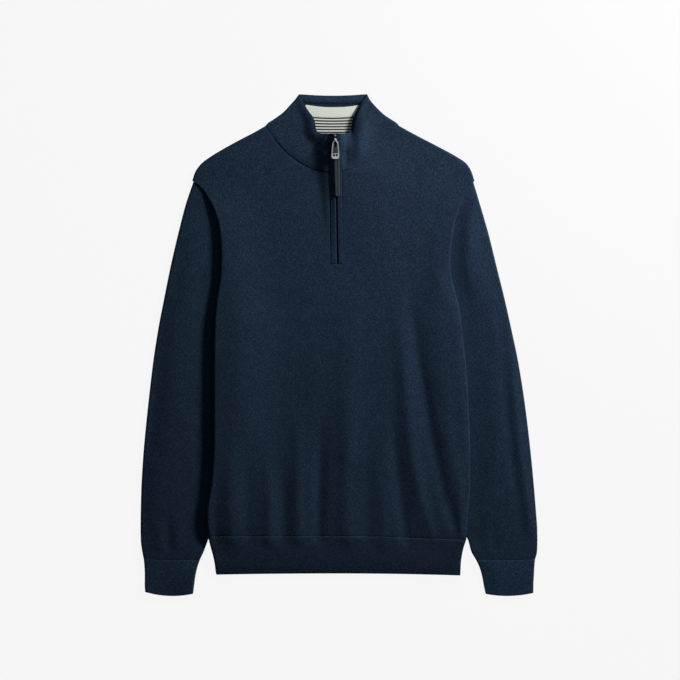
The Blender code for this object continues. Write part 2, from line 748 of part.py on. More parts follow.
def sleeve_crown(x, y, side, distance, inner_distance):
    """Top of a sleeve: full where it lies free, low at its outer fold and under the body."""
    edge = read(BODY, side, y)
    outside = (edge - x) if side == "left" else (x - edge)
    pressed = 1.0 - ease((outside - 5.0) / SLEEVE_RAMP[side])
    puff = lerp(SLEEVE_PUFF[side], SHOULDER_TOP, ease((y - 190.0) / 55.0))
    puff = lerp(puff, CUFF_TOP, ease((-230.0 - y) / 100.0))
    fold = SLEEVE_EDGE + (puff - SLEEVE_EDGE) * ease(distance / 20.0)
    seam = lerp(TUCKED, SHOULDER_TOP - 0.1, ease((y - 165.0) / 85.0))
    free = np.where(y < -297.0, lerp(CUFF_TOP, puff, ease(inner_distance / 20.0)), fold)
    below = ease((-301.0 - y) / 25.0)
    return lerp(np.minimum(fold, free), seam, pressed * (1.0 - below))


def make_sleeve(name, side, source, knit, turned):
    """A sleeve: one flattened tube from the cuff's seam to the armhole."""
    count = len(source["outer_x"])
    index = np.arange(count, dtype=float)
    at = np.concatenate([np.linspace(0.0, count - 2.0, 17), [count - 1.5, count - 1.0]])
    row = {key: smooth(index, column, at) for key, column in source.items()}
    ahead = {key: smooth(index, column, at + 0.05) - smooth(index, column, at - 0.05)
             for key, column in source.items()}
    seam = armhole_seam(side)
    grid = []
    for i, place in enumerate(at):
        outer = np.array([row["outer_x"][i], row["outer_y"][i]])
        inner = np.array([row["inner_x"][i], row["inner_y"][i]])
        length = np.linalg.norm(inner - outer)
        across = (inner - outer) / length
        outer_sine = turn_sine(across, ahead["outer_x"][i], ahead["outer_y"][i])
        inner_sine = turn_sine(across, ahead["inner_x"][i], ahead["inner_y"][i])
        edge = SLEEVE_EDGE / 2
        shares, depth = tube_shares(length, edge, outer_sine, inner_sine)
        bend = along(seam, shares) - lerp(seam[0], seam[-1], shares[:, None])
        share = max(0.0, (place - (count - 7.0)) / 6.0)
        plan = lerp(outer[None], inner[None], shares[:, None]) + bend * share
        distance = shares * length * outer_sine
        crown = sleeve_crown(plan[:, 0], plan[:, 1], side, distance, (1.0 - shares) * length)
        grid.append(tube_ring(plan, crown, depth, edge))
    add_cloth(name, np.array(grid), KNIT, knit, closed=True, turned=turned)


def turn_sine(across, step_x, step_y):
    """Sine of the angle between a section and the fold that it ends on, not below a third."""
    step = math.hypot(step_x, step_y)
    if step < 1e-6:
        return 1.0
    return max(0.33, abs(across[0] * step_y - across[1] * step_x) / step)


def make_cuff(name, source, rib, turned):
    """A cuff: a short flattened tube of rib below the sleeve's seam."""
    grid = []
    for i in range(len(source["bow"]))[::-1]:
        outer = np.array([source["outer_x"][i], source["outer_y"][i]])
        inner = np.array([source["inner_x"][i], source["inner_y"][i]])
        length = np.linalg.norm(inner - outer)
        edge = CUFF_TOP / 2
        shares, depth = tube_shares(length, edge, 1.0, 1.0)
        plan = lerp(outer[None], inner[None], shares[:, None])
        plan[:, 1] -= 4.0 * source["bow"][i] * shares * (1.0 - shares)
        grid.append(tube_ring(plan, np.full(len(shares), CUFF_TOP), depth, edge))
    add_cloth(name, np.array(grid), BAND, rib, closed=True, turned=turned)


# ---------------------------------------------------------------------- collar

COLLAR_COLUMNS = np.concatenate([[0.0, 0.008, 0.03], np.linspace(0.125, 0.9, 7), [0.972, 1.0]])
COLLAR_BACK_COLUMNS = np.concatenate([[0.0, 0.005, 0.018], np.linspace(0.125, 0.875, 7),
                                      [0.982, 0.995, 1.0]])
COLLAR_ROWS = np.linspace(0.0, 1.0, 7)


def collar_fold(side):
    """Side fold of the collar, seen from above."""
    return outline(COLLAR_SIDE, side)


def with_z(plan, z):
    """Plan points with a height for each."""
    return np.column_stack([plan, np.broadcast_to(z, len(plan))])


def toward_neck(points):
    """The same points, moved off the panel's seam toward the middle of the neck."""
    away = np.array([NECK_MID, 400.0]) - points
    return points + away / np.linalg.norm(away, axis=-1, keepdims=True) * NECK_GAP


def front_height(grid, rim):
    """Height of the collar's left front: flat on the back, with a ridge along its free edges."""
    gaps = np.linalg.norm(grid[:, :, None, :2] - rim[None, None, :, :2], axis=-1)
    high = rim[:, 2][np.argmin(gaps, axis=-1)]
    away = np.linalg.norm(grid[..., :2] - grid[:, :1, :2], axis=-1)
    flat = lerp(grid[:, :1, 2], COLLAR_FLAT, ease(away / 50.0))
    return flat + flank(np.min(gaps, axis=-1), np.maximum(high - flat, 0.0))


def bump(at, middle, width, height):
    """A soft hump of a height round a middle, or a dip where height is negative."""
    return height * np.exp(-(((at - middle) / width) ** 2))


def distance(grid, curve):
    """Distance from each point of a grid to a curve, seen from above."""
    return np.min(np.linalg.norm(grid[:, :, None, :2] - curve[None, None, :, :2], axis=-1), axis=-1)


def front_puff(grid, seam, rim):
    """How far the collar's right front puffs up, past its free edge and the welt."""
    gap = distance(grid, rim)
    beside = grid[..., 0] - slit_right(grid[..., 1])
    puff = bump(gap, 22.0, 13.0, 3.6) + bump(beside, 5.0, 5.5, -2.4) + bump(beside, 28.0, 12.0, 4.0)
    return puff * ease(distance(grid, seam) / 18.0) * ease(gap / 5.0) * ease(beside / 5.0)


def collar_front(side):
    """Front of the collar on one side, columns from the side fold to the zip."""
    seam = toward_neck(neck_stations(neckline(side), FRONT_COLUMNS))
    seam = with_z(seam, body_crown(seam[:, 0], seam[:, 1]))
    edge = fine(np.stack([COLLAR_EDGE[side], COLLAR_EDGE[side + "_y"], COLLAR_EDGE[side + "_z"]], axis=-1))
    fold = collar_fold(side)
    fold[0] = seam[0, :2]
    fold = with_z(fold, np.linspace(SHOULDER_TOP, COLLAR_FOLD, len(fold)))
    y = np.linspace(seam[-1, 1], ZIP_HEAD[1], 40)
    clear = np.linspace(0.0, SEAM, len(y))
    slit = slit_left(y) - clear if side == "left" else slit_right(y) + clear
    by_zip = np.column_stack([slit, y, ridge_left(y) if side == "left" else zip_surface(y)])
    grid = patch(seam, edge, fold, by_zip, COLLAR_COLUMNS, COLLAR_ROWS)
    if side == "left":
        grid[..., 2] = front_height(grid, np.concatenate([edge, by_zip[::-1]]))
    else:
        grid[..., 2] += front_puff(grid, seam, edge[:180])
    grid[:, -2, 2] = grid[:, -1, 2]
    away = np.linalg.norm(grid[..., :2] - grid[:, :1, :2], axis=-1)
    grid[..., 2] -= rounded(away, EDGE, np.linspace(SHOULDER_TOP, COLLAR_FOLD, len(grid))[:, None] / 2)
    return grid


def collar_back(columns, rows):
    """Back of the collar, columns from the right fold to the left one, facing the floor."""
    halves = [toward_neck(neck_stations(back_neck(side), BACK_COLUMNS)) for side in ("left", "right")]
    seam = np.concatenate([halves[0], halves[1][::-1][1:]])
    x = np.linspace(COLLAR_SIDE["left"][-1], COLLAR_SIDE["right"][-1], 40)
    share = (x - x[0]) / (x[-1] - x[0])
    edge = np.column_stack([x, COLLAR_SIDE["y"][-1] - 4.0 * COLLAR_TOP_SAG * share * (1.0 - share)])
    left, right = collar_fold("left"), collar_fold("right")
    left[0], right[0] = seam[0], seam[-1]
    plan = patch(seam, edge, left, right, columns, rows)
    near = np.linalg.norm(plan - plan[:, :1], axis=-1)
    far = np.linalg.norm(plan - plan[:, -1:], axis=-1)
    height = lerp(SHOULDER_TOP, COLLAR_FOLD, np.asarray(rows))[:, None] / 2
    z = rounded(np.minimum(near, far), EDGE, height)
    return np.concatenate([plan, z[..., None]], axis=-1)


def make_collar(knit):
    """Stand collar: one band of double knit, open at the zip."""
    left, right = collar_front("left"), collar_front("right")
    back = collar_back(COLLAR_BACK_COLUMNS, COLLAR_ROWS)
    grid = np.concatenate([left[:, ::-1], back[:, 1:-1], right], axis=1)
    add_cloth("collar", grid, COLLAR, knit, turned=True)


def band_sag(x, up):
    """How far the bands hang in the middle of the neck, more toward the collar's top."""
    return lerp(0.5, 3.0, up) * (1.0 - ((x - NECK_MID) / 43.0) ** 2)


def make_collar_band(name, low, high, finish):
    """A band of tape on the inside of the collar's back, between two shares of its height."""
    columns = np.concatenate([[0.0], np.linspace(0.17, 0.83, 9), [1.0]])
    rows = np.array([0.0, low, (low + high) / 2, high, 1.0])
    grid = collar_back(columns, rows)[1:-1, 1:-1]
    grid[..., 1] -= band_sag(grid[..., 0], rows[1:-1, None])
    grid[..., 2] = COLLAR + SEAM + TAPE
    add_cloth(name, grid, TAPE, finish)


# ---------------------------------------------------------------------- zip


def zip_strip(name, across, y, top, thick, finish, level=WELT_LEVEL, fall=1.0):
    """A strip along the zip through some distances from its middle, with its top's height."""
    across = np.array(across)
    grid = np.empty((len(y), len(across), 3))
    grid[..., 0] = zip_x(y)[:, None] + across[None]
    grid[..., 1] = y[:, None]
    grid[..., 2] = (zip_surface(y) + top)[:, None] - fall * welt_fall(across[None], y[:, None], level)
    return add_cloth(name, grid, thick, finish)


def make_zip(knit, tape, teeth):
    """The welts beside the zip, its tape behind them and its closed row of teeth."""
    half = ZIP_GAP / 2
    y = np.concatenate([np.linspace(ZIP_FOOT[1] + SEAM, 250.0, 8), np.linspace(258.0, ZIP_HEAD[1], 12)])
    deep = COLLAR + WELT_PROUD
    zip_strip("welt_right", (-half - WELT_LEFT, -WELT_LEVEL, -half), y, WELT_PROUD, deep, knit)
    zip_strip("welt_left", (half, half + WELT_RIGHT / 2, half + WELT_RIGHT), y, WELT_PROUD, deep, knit)
    y = np.concatenate([np.linspace(ZIP_FOOT[1] - 6.0, 250.0, 8), np.linspace(258.0, ZIP_HEAD[1] - 1.0, 12)])
    edge = -half - WELT_LEFT
    zip_strip("zip_tape", (-12.6, edge, -TAPE_LEVEL, 9.5), y, -COLLAR - 2 * SEAM, TAPE, tape, TAPE_LEVEL, 1.15)
    y = np.concatenate([np.linspace(ZIP_FOOT[1] + 1.0, 250.0, 8), np.linspace(258.0, 309.0, 9)])
    zip_strip("zip_teeth", (-TEETH_WIDTH / 2, 0.0, TEETH_WIDTH / 2), y, -0.4, COLLAR - 0.4, teeth)


def box(name, size, centre, collection, finish, bevel=0.0):
    """A box from Blender's cube, with its edges rounded if bevel is given."""
    bpy.ops.mesh.primitive_cube_add(size=1.0)
    made = bpy.context.active_object
    made.name = name
    made.data.name = name
    for vertex in made.data.vertices:
        for axis in range(3):
            vertex.co[axis] = (vertex.co[axis] * size[axis] + centre[axis]) * MM
    made.data.materials.append(finish)
    for owner in list(made.users_collection):
        owner.objects.unlink(made)
    collection.objects.link(made)
    if bevel:
        edges = made.modifiers.new("rounded", "BEVEL")
        edges.width = bevel * MM
        edges.segments = 2
    return made


def combine(target, tool, operation):
    """Join a tool to a piece or cut it out, and keep the tool as a hidden guide."""
    step = target.modifiers.new(operation.lower(), "BOOLEAN")
    step.operation = operation
    step.object = tool
    step.solver = "EXACT"
    tool.hide_render = True
    tool.display_type = "WIRE"


def hinge_place():
    """The puller's axis: its place over the zip."""
    slope = math.atan(float(zip_surface(HINGE_Y + 3.0) - zip_surface(HINGE_Y - 3.0)) / 6.0)
    lift = WELT_PROUD + PLATE_CLEAR + PLATE[2] + AXIS_LIFT
    return (float(zip_x(HINGE_Y)), HINGE_Y, float(zip_surface(HINGE_Y)) + lift / math.cos(slope)), slope


def place(piece, spot, tilt):
    """Move a piece made round the hinge to its place on the zip."""
    piece.location = [value * MM for value in spot]
    piece.rotation_euler = (tilt, 0.0, 0.0)


def make_slider(metal):
    """Slider: a plate over the welts, a core between them and a bridge for the puller."""
    spot, slope = hinge_place()
    width, length, thick = PLATE
    middle = length / 2 - 4.0
    floor = -AXIS_LIFT - thick / 2
    slider = box("slider", (width, length, thick), (0.0, middle, floor), PARTS, metal, bevel=0.6)
    deep = COLLAR + WELT_PROUD
    core = box("slider_core", (TEETH_WIDTH, length - 3.0, deep), (0.0, middle, floor - deep / 2), TOOLS, metal)
    height = AXIS_LIFT + BRIDGE_TOP + 0.3
    bridge = box("slider_bridge", (BRIDGE_WIDTH, 2 * BRIDGE_REACH, height),
                 (0.0, 0.0, BRIDGE_TOP - height / 2), TOOLS, metal, bevel=0.5)
    inside = 2 * (BRIDGE_REACH - BRIDGE_BAR)
    opening_top = BRIDGE_TOP - 1.0
    tunnel = box("slider_tunnel", (4 * BRIDGE_WIDTH, inside, opening_top + AXIS_LIFT),
                 (0.0, 0.0, (opening_top - AXIS_LIFT) / 2), TOOLS, metal)
    combine(slider, core, "UNION")
    combine(slider, bridge, "UNION")
    combine(slider, tunnel, "DIFFERENCE")
    for piece in (slider, core, bridge, tunnel):
        place(piece, spot, slope)


def ring(points):
    """A closed polyline's points with a fourth number for a spline."""
    return [(x * MM, y * MM, 0.0, 1.0) for x, y in points]


def rounded_outline(corners, radius, steps=3):
    """A polygon with each corner cut by a short arc."""
    points = []
    count = len(corners)
    for i, corner in enumerate(corners):
        here = np.array(corner, float)
        before = np.array(corners[i - 1], float) - here
        after = np.array(corners[(i + 1) % count], float) - here
        first = here + before / np.linalg.norm(before) * radius[i]
        last = here + after / np.linalg.norm(after) * radius[i]
        for t in np.linspace(0.0, 1.0, steps + 1):
            points.append(tuple((1 - t) ** 2 * first + 2 * t * (1 - t) * here + t * t * last))
    return points


PULLER_EYE = [(-1.6, -0.8), (1.6, -0.8), (1.6, -4.5), (-1.6, -4.5)]
PULLER_SLOT = [(-3.6, -21.4), (3.6, -21.4), (3.6, -24.6), (-3.6, -24.6)]
PULLER_SHAPE = [(-3.4, 0.8), (3.4, 0.8), (4.0, -6.0), (6.1, -20.0), (6.2, -29.0), (-6.2, -29.0),
                (-6.1, -20.0), (-4.0, -6.0)]


def make_puller(metal):
    """Puller: a flat tapered plate with an eye round the bridge and a slot for the strap."""
    flat = bpy.data.curves.new("puller", "CURVE")
    flat.dimensions = "2D"
    flat.fill_mode = "BOTH"
    flat.extrude = PULLER_THICK / 2 * MM
    shapes = (
        rounded_outline(PULLER_SHAPE, (0.7, 0.7, 2.5, 2.5, 3.6, 3.6, 2.5, 2.5)),
        rounded_outline(PULLER_EYE, (0.25, 0.25, 1.2, 1.2)),
        rounded_outline(PULLER_SLOT, (0.5, 0.5, 0.5, 0.5)),
    )
    for shape in shapes:
        spline = flat.splines.new("POLY")
        points = ring(shape)
        spline.points.add(len(points) - 1)
        for point, value in zip(spline.points, points):
            point.co = value
        spline.use_cyclic_u = True
    puller = add_object("puller", flat, metal, PARTS)
    spot, _ = hinge_place()
    place(puller, spot, PULLER_TILT)


def make_strap(leather):
    """Strap: doubled leather that comes up in the puller's slot and lies along the zip."""
    spot, _ = hinge_place()
    turn = np.array([[math.cos(PULLER_TILT), -math.sin(PULLER_TILT)],
                     [math.sin(PULLER_TILT), math.cos(PULLER_TILT)]])
    low = -PULLER_THICK / 2 - SEAM - STRAP_THICK / 2
    local = np.array([(-23.0, 0.3), (-23.0, -0.3), (-23.3, low + 0.45), (-24.2, low), (-26.5, low), (-29.0, low)])
    head = local @ turn.T + np.array(spot[1:])
    y = np.concatenate([np.linspace(281.0, 262.0, 6), np.linspace(256.0, STRAP_END, 4)])
    tail = np.column_stack([y, zip_surface(y) + WELT_PROUD + SEAM + 0.1 + STRAP_THICK / 2])
    path = np.concatenate([head, tail])
    lean = lerp(spot[0], zip_x(path[:, 0]) + STRAP_LEAN, ease((spot[1] - 28.0 - path[:, 0]) / 55.0))
    half = STRAP_WIDTH / 2 - 0.5 * ease((STRAP_END + 2.0 - path[:, 0]) / 3.0)
    grid = np.empty((len(path), 2, 3))
    grid[:, 0, 0], grid[:, 1, 0] = lean - half, lean + half
    grid[..., 1] = path[:, :1]
    grid[..., 2] = path[:, 1:]
    strap = add_cloth("pull_strap", grid, STRAP_THICK, leather, turned=True)
    strap.modifiers["wall"].offset = 0.0
    origin = [value * MM for value in spot]
    strap.data.transform(Matrix.Translation(origin).inverted())
    strap.location = origin


def clear_scene():
    """Remove every object of the open file."""
    for old in list(bpy.data.objects):
        bpy.data.objects.remove(old, do_unlink=True)


def new_collection(name):
    """A new collection under the scene's own."""
    made = bpy.data.collections.new(name)
    bpy.context.scene.collection.children.link(made)
    return made


clear_scene()
PARTS = new_collection("quarter_zip_sweater")
TOOLS = new_collection("cutters")

NAVY_KNIT = material("navy knit", (0.014, 0.024, 0.045), 0.95)
NAVY_RIB = material("navy rib", (0.012, 0.021, 0.040), 0.95)
CREAM_TAPE = material("cream tape", (0.68, 0.68, 0.58), 0.9)
STRIPED_TAPE = material("striped tape", (0.35, 0.36, 0.33), 0.9)
ZIP_TAPE = material("zip tape", (0.010, 0.012, 0.020), 0.8)
ZIP_TEETH = material("zip teeth", (0.02, 0.02, 0.025), 0.4)
METAL = material("gunmetal", (0.45, 0.45, 0.46), 0.3, 1.0)
LEATHER = material("strap leather", (0.06, 0.06, 0.065), 0.6)

make_front(NAVY_KNIT)
make_back(NAVY_KNIT)
make_hem(NAVY_RIB)
make_sleeve("sleeve_right", "left", SLEEVE_RIGHT, NAVY_KNIT, turned=False)
make_sleeve("sleeve_left", "right", SLEEVE_LEFT, NAVY_KNIT, turned=True)
make_cuff("cuff_right", CUFF_RIGHT, NAVY_RIB, turned=False)
make_cuff("cuff_left", CUFF_LEFT, NAVY_RIB, turned=True)
make_collar(NAVY_KNIT)
make_collar_band("collar_stripes", 0.03, 0.524, STRIPED_TAPE)
make_collar_band("collar_cream", 0.53, 0.772, CREAM_TAPE)
make_zip(NAVY_KNIT, ZIP_TAPE, ZIP_TEETH)
make_slider(METAL)
make_puller(METAL)
make_strap(LEATHER)
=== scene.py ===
"""Quarter zip sweater laid flat: its finished cloth, zip and studio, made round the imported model.

Sizes in the tables are millimetres until a mesh is made, where MM turns them into metres. +X is the
wearer's left, +Y runs up to the collar, +Z is up. Table columns and side arguments named left and
right mean -X and +X.
"""
import json
import math

import bmesh
import bpy
import numpy as np
from bpy.props import FloatProperty, FloatVectorProperty, IntProperty, PointerProperty
from mathutils import Matrix, Vector

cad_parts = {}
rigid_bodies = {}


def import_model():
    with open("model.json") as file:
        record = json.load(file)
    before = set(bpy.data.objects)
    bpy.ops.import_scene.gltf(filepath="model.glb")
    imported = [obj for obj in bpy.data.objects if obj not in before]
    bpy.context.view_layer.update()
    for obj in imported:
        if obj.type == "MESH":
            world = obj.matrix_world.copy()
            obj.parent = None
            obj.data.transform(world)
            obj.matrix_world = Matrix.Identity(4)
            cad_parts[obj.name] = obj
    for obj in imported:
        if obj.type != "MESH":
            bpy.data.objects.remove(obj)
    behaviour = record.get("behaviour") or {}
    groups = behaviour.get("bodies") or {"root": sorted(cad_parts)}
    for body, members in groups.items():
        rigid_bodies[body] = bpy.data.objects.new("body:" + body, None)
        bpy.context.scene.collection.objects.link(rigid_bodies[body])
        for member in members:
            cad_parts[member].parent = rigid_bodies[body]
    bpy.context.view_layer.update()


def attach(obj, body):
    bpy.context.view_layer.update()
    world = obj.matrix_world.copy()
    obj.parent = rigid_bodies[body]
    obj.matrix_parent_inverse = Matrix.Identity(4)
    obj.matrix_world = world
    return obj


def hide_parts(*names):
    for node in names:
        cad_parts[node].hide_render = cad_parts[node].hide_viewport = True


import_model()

bl_info = {
    "name": "Quarter Zip Sweater",
    "version": (1, 0, 0),
    "blender": (4, 5, 0),
    "location": "View3D > Sidebar > Sweater",
    "description": "Builds the knit shells, collar bands, zip and studio of a quarter zip sweater",
    "category": "Add Mesh",
}

MM = 0.001

# Walls of the cloth
KNIT = 1.6
BAND = 2.0
COLLAR = 2.2
TAPE = 0.7
THREAD = 0.0005         # from one thread of the woven tapes to the next, in metres
SEAM = 0.1              # gap between pieces that are sewn together
FOLD_GAP = 0.12         # between front and back along the side seams
NECK_GAP = 0.15
EDGE_ROUND = 0.32       # share of its wall that a cut edge is rounded by
SEAM_GROOVE = 1.6       # half width of the groove along a linked seam

# How the layers lie
MIDDLE = 5.8
EDGE = 3.0
FALL = (80.0, 42.0)     # how far the body takes to come down from its -X and its +X edge
SHOULDER_TOP = 5.8
TUCKED = 3.6
SLEEVE_PUFF = {"left": 6.7, "right": 6.6}
SLEEVE_RAMP = {"left": (56.0, 72.0), "right": (42.0, 26.0)}     # along the body, and at the armhole
SLEEVE_EDGE = 5.0
CUFF_TOP = 5.2
CUFF_SEAM = -332.0
CUFF_LENGTH = 50.0
CUFF_LEAN = {"left": (1.4, 0.4, 0.45), "right": (-1.5, 0.7, 0.3)}   # height gained, from, over

# The zip's line, and what lies beside it
ZIP_FOOT = (-2.1, 126.3)
ZIP_HEAD = (-5.7, 326.8)
ZIP_GAP = 3.8
WELT_REACH = 0.7        # how far each welt leans over the teeth
WELT_LEFT = 8.2
WELT_RIGHT = 6.6
WELT_PROUD = 0.5
NECK_FRONT = 266.3
ZIP_RISE = 14.2
RISE_POWER = 1.6
WELT_FALL = 4.0         # how far the welt on the -X side falls over its width at the zip's head
WELT_LEVEL = 3.2        # distance from the zip's middle where that welt starts to fall
TAPE_LEVEL = 2.2        # the same for the tape behind it
CREST = 3.2             # width that stays level beside the welts
FLANK = (6.0, 2.2)      # reach of the ridge's flank to -X: a base, and more for each mm of rise
SLOPE_RIGHT = 120.0
RIDGE_FADE = 55.0       # how far above the neckline the ridge on the body runs out

# The collar
NECK_MID = -10.3
NECK_BACK = 326.6
NECK_STEP = 12.9
COLLAR_FOLD = 5.0
COLLAR_FLAT = 7.0       # height of the -X front between its side fold and its raised rim
COLLAR_SETTLE = 58.0    # how far from the fold it comes to that height
COLLAR_FLANK = (8.0, 2.3)
COLLAR_SEWN = {"left": 30.0, "right": 18.0}     # how far from its seam each front comes free
PUFF_RIM = (22.0, 13.0, 3.6)    # hump of the +X front off its rim: middle, half width, height
DIP_ZIP = (7.0, 6.0, -1.8)      # dip of that front beside the zip
PUFF_ZIP = (28.0, 12.0, 4.0)    # hump beyond it
COLLAR_ROLL = 2.0       # how far the back's rim rolls up off the floor
COLLAR_TOP_SAG = 2.6
BAND_HALF = 43.0        # half of the bands' run across the neck

# The slider, its puller and the strap
HINGE_Y = 316.5
PLATE = (8.0, 12.5, 1.6)
PLATE_CLEAR = 0.4
AXIS_LIFT = 1.3
BRIDGE_WIDTH = 2.4
BRIDGE_REACH = 3.0
BRIDGE_TOP = 2.3
PULLER_THICK = 1.2
PULLER_TILT = math.radians(6.9)
STRAP_WIDTH = 6.6
STRAP_THICK = 1.6
STRAP_END = 230.2
STRAP_LEAN = 1.6        # how far the strap's end lies to +X of the zip

# The tape behind the zip and the teeth
TAPE_SIDES = (-12.6, 9.5)
TEETH_TOP = 309.0
TEETH_DEPTH = 1.6

# The studio, in metres: place and size of each soft box, the spot that they face, the camera's middle
KEY_LIGHT = ((1.20, 1.12, 0.60), 0.32)
TOP_LIGHT = ((0.10, 0.95, 0.55), 0.25)
CHEST = (0.0, 0.25, 0.0)
VIEW_CENTRE = (0.00155, 0.00775)
SKY = (0.94, 1.0, 1.06, 1.0)
FLOOR_HALF = 3.0
FLOOR_DROP = 0.0002


def table(names, *rows):
    """The rows of a table as one array for each named column."""
    return dict(zip(names.split(), np.array(rows, float).T))


# Outlines in plan, each with the x of its -X and +X side at a height y
BODY = table(
    "y left right",
    (-357.6, -189.0, 187.9), (-351.9, -191.0, 188.2), (-339.5, -192.5, 188.7), (-327.1, -195.0, 190.2),
    (-314.7, -198.4, 192.7), (-297.6, -202.3, 197.6), (-283.7, -203.8, 198.4), (-260.4, -204.6, 199.2),
    (-240.3, -202.3, 201.5), (-215.5, -197.9, 203.1), (-182.9, -195.3, 203.1), (-139.5, -193.8, 202.3),
    (-54.3, -193.8, 198.4), (23.3, -193.0, 190.6), (58.9, -191.2, 185.8), (83.7, -187.6, 179.2),
    (108.5, -183.9, 173.6), (134.9, -182.9, 172.3), (158.1, -183.7, 174.1), (186.0, -186.8, 178.8),
    (209.3, -193.8, 185.2), (229.4, -203.0, 194.5), (246.5, -215.5, 204.0), (254.6, -227.4, 209.9),
)
ARMHOLE = table(
    "y left right",
    (36.0, -158.0, 154.0), (38.5, -166.0, 162.0), (44.0, -173.5, 169.0), (52.0, -177.5, 172.5),
    (66.0, -179.5, 174.0), (84.0, -179.0, 171.5), (108.0, -177.0, 167.5), (135.0, -176.5, 166.5),
    (158.0, -177.5, 168.5), (186.0, -181.5, 173.8), (212.0, -194.9, 186.3), (229.4, -203.0, 194.5),
    (246.5, -215.5, 204.0), (254.6, -227.4, 209.9),
)
BACK_EDGE = table(
    "y left right",
    (9.0, -190.0, 188.5), (16.0, -184.0, 181.5), (28.0, -166.0, 162.5), (36.0, -156.2, 152.2),
    (46.0, -173.0, 168.3), (52.0, -176.6, 171.6), (66.0, -178.9, 173.4), (84.0, -178.6, 171.1),
    (108.0, -176.6, 167.1), (135.0, -176.1, 166.1), (158.0, -177.1, 168.1), (186.0, -181.1, 173.4),
    (212.0, -194.5, 185.9), (229.4, -202.6, 194.1), (246.5, -215.1, 203.6), (254.6, -227.4, 209.9),
)
# Along the body: the height of its middle and of its two sides, how deep a side's fold drops, how
# far it is lifted off the floor, and how wide the raised side stays level
HEIGHTS = table(
    "y middle left right drop lift plateau",
    (-357.6, 4.2, 4.7, 4.7, 2.2, 0.0, 4.0), (-342.0, 6.3, 6.8, 6.5, 2.5, 0.9, 4.0),
    (-325.0, 7.0, 7.5, 7.8, 2.8, 1.7, 6.0), (-297.6, 7.3, 10.2, 10.0, 3.0, 4.3, 10.0),
    (-280.0, 7.2, 12.6, 10.3, 3.1, 4.5, 20.0), (-240.0, 7.0, 14.5, 10.4, 3.1, 4.5, 28.0),
    (-120.0, 7.0, 14.5, 10.4, 3.1, 4.5, 30.0), (-40.0, 7.0, 14.5, 10.4, 3.1, 4.5, 33.0),
    (34.0, 6.5, 13.9, 10.2, 3.4, 4.5, 32.0), (48.0, 6.4, 13.4, 9.8, 4.0, 1.4, 29.0),
    (62.0, 6.2, 13.0, 9.5, 4.3, 0.0, 24.0), (95.0, 5.9, 12.4, 9.3, 4.3, 0.0, 12.0),
    (126.0, 5.8, 12.0, 9.3, 4.3, 0.0, 4.0), (158.0, 5.8, 11.5, 9.2, 4.1, 0.0, 0.0),
    (186.0, 5.8, 10.6, 8.6, 3.1, 0.0, 0.0), (209.3, 5.8, 9.4, 7.5, 1.7, 0.0, 0.0),
    (229.4, 5.8, 7.8, 6.4, 0.6, 0.0, 0.0), (254.6, 5.8, 5.8, 5.8, 0.0, 0.0, 0.0),
)
SHOULDER = table(
    "y left right",
    (254.6, -227.4, 209.9), (268.2, -222.7, 205.4), (280.6, -213.7, 197.9), (293.0, -197.2, 180.1),
    (305.4, -176.5, 157.3), (317.8, -153.8, 133.5), (330.2, -130.0, 110.0), (339.5, -113.9, 93.3),
)
COLLAR_SIDE = table(
    "y left right",
    (339.5, -113.9, 93.3), (344.1, -109.9, 89.3), (348.8, -102.6, 82.0), (353.4, -95.8, 74.9),
    (358.0, -89.4, 68.7), (362.7, -84.2, 63.4), (372.0, -75.6, 54.4), (381.3, -67.3, 47.2),
    (388.7, -62.0, 43.7),
)
NECKLINE = table(
    "x y",
    (-113.9, 339.5), (-103.9, 325.8), (-89.9, 306.0), (-70.1, 288.3), (-50.4, 276.4), (-30.5, 268.8),
    (-12.3, 266.3),
)
# The collar's free edge from its top corners down to the zip, with its heights
COLLAR_EDGE = table(
    "left left_y left_z right right_y right_z",
    (-62.0, 388.7, 5.0, 43.7, 388.7, 4.7), (-53.8, 373.0, 6.6, 32.6, 373.0, 5.2),
    (-46.8, 361.8, 8.4, 25.9, 361.5, 5.4), (-40.4, 353.0, 9.9, 21.9, 352.8, 5.7),
    (-37.2, 345.0, 10.8, 19.8, 344.0, 6.2), (-35.4, 334.5, 11.4, 18.4, 333.5, 7.2),
    (-31.5, 328.2, 12.2, 14.8, 328.0, 10.0), (-24.0, 326.9, 13.8, 8.0, 326.9, 14.6),
    (-15.8, 326.8, 16.0, 2.8, 326.8, 20.0),
)
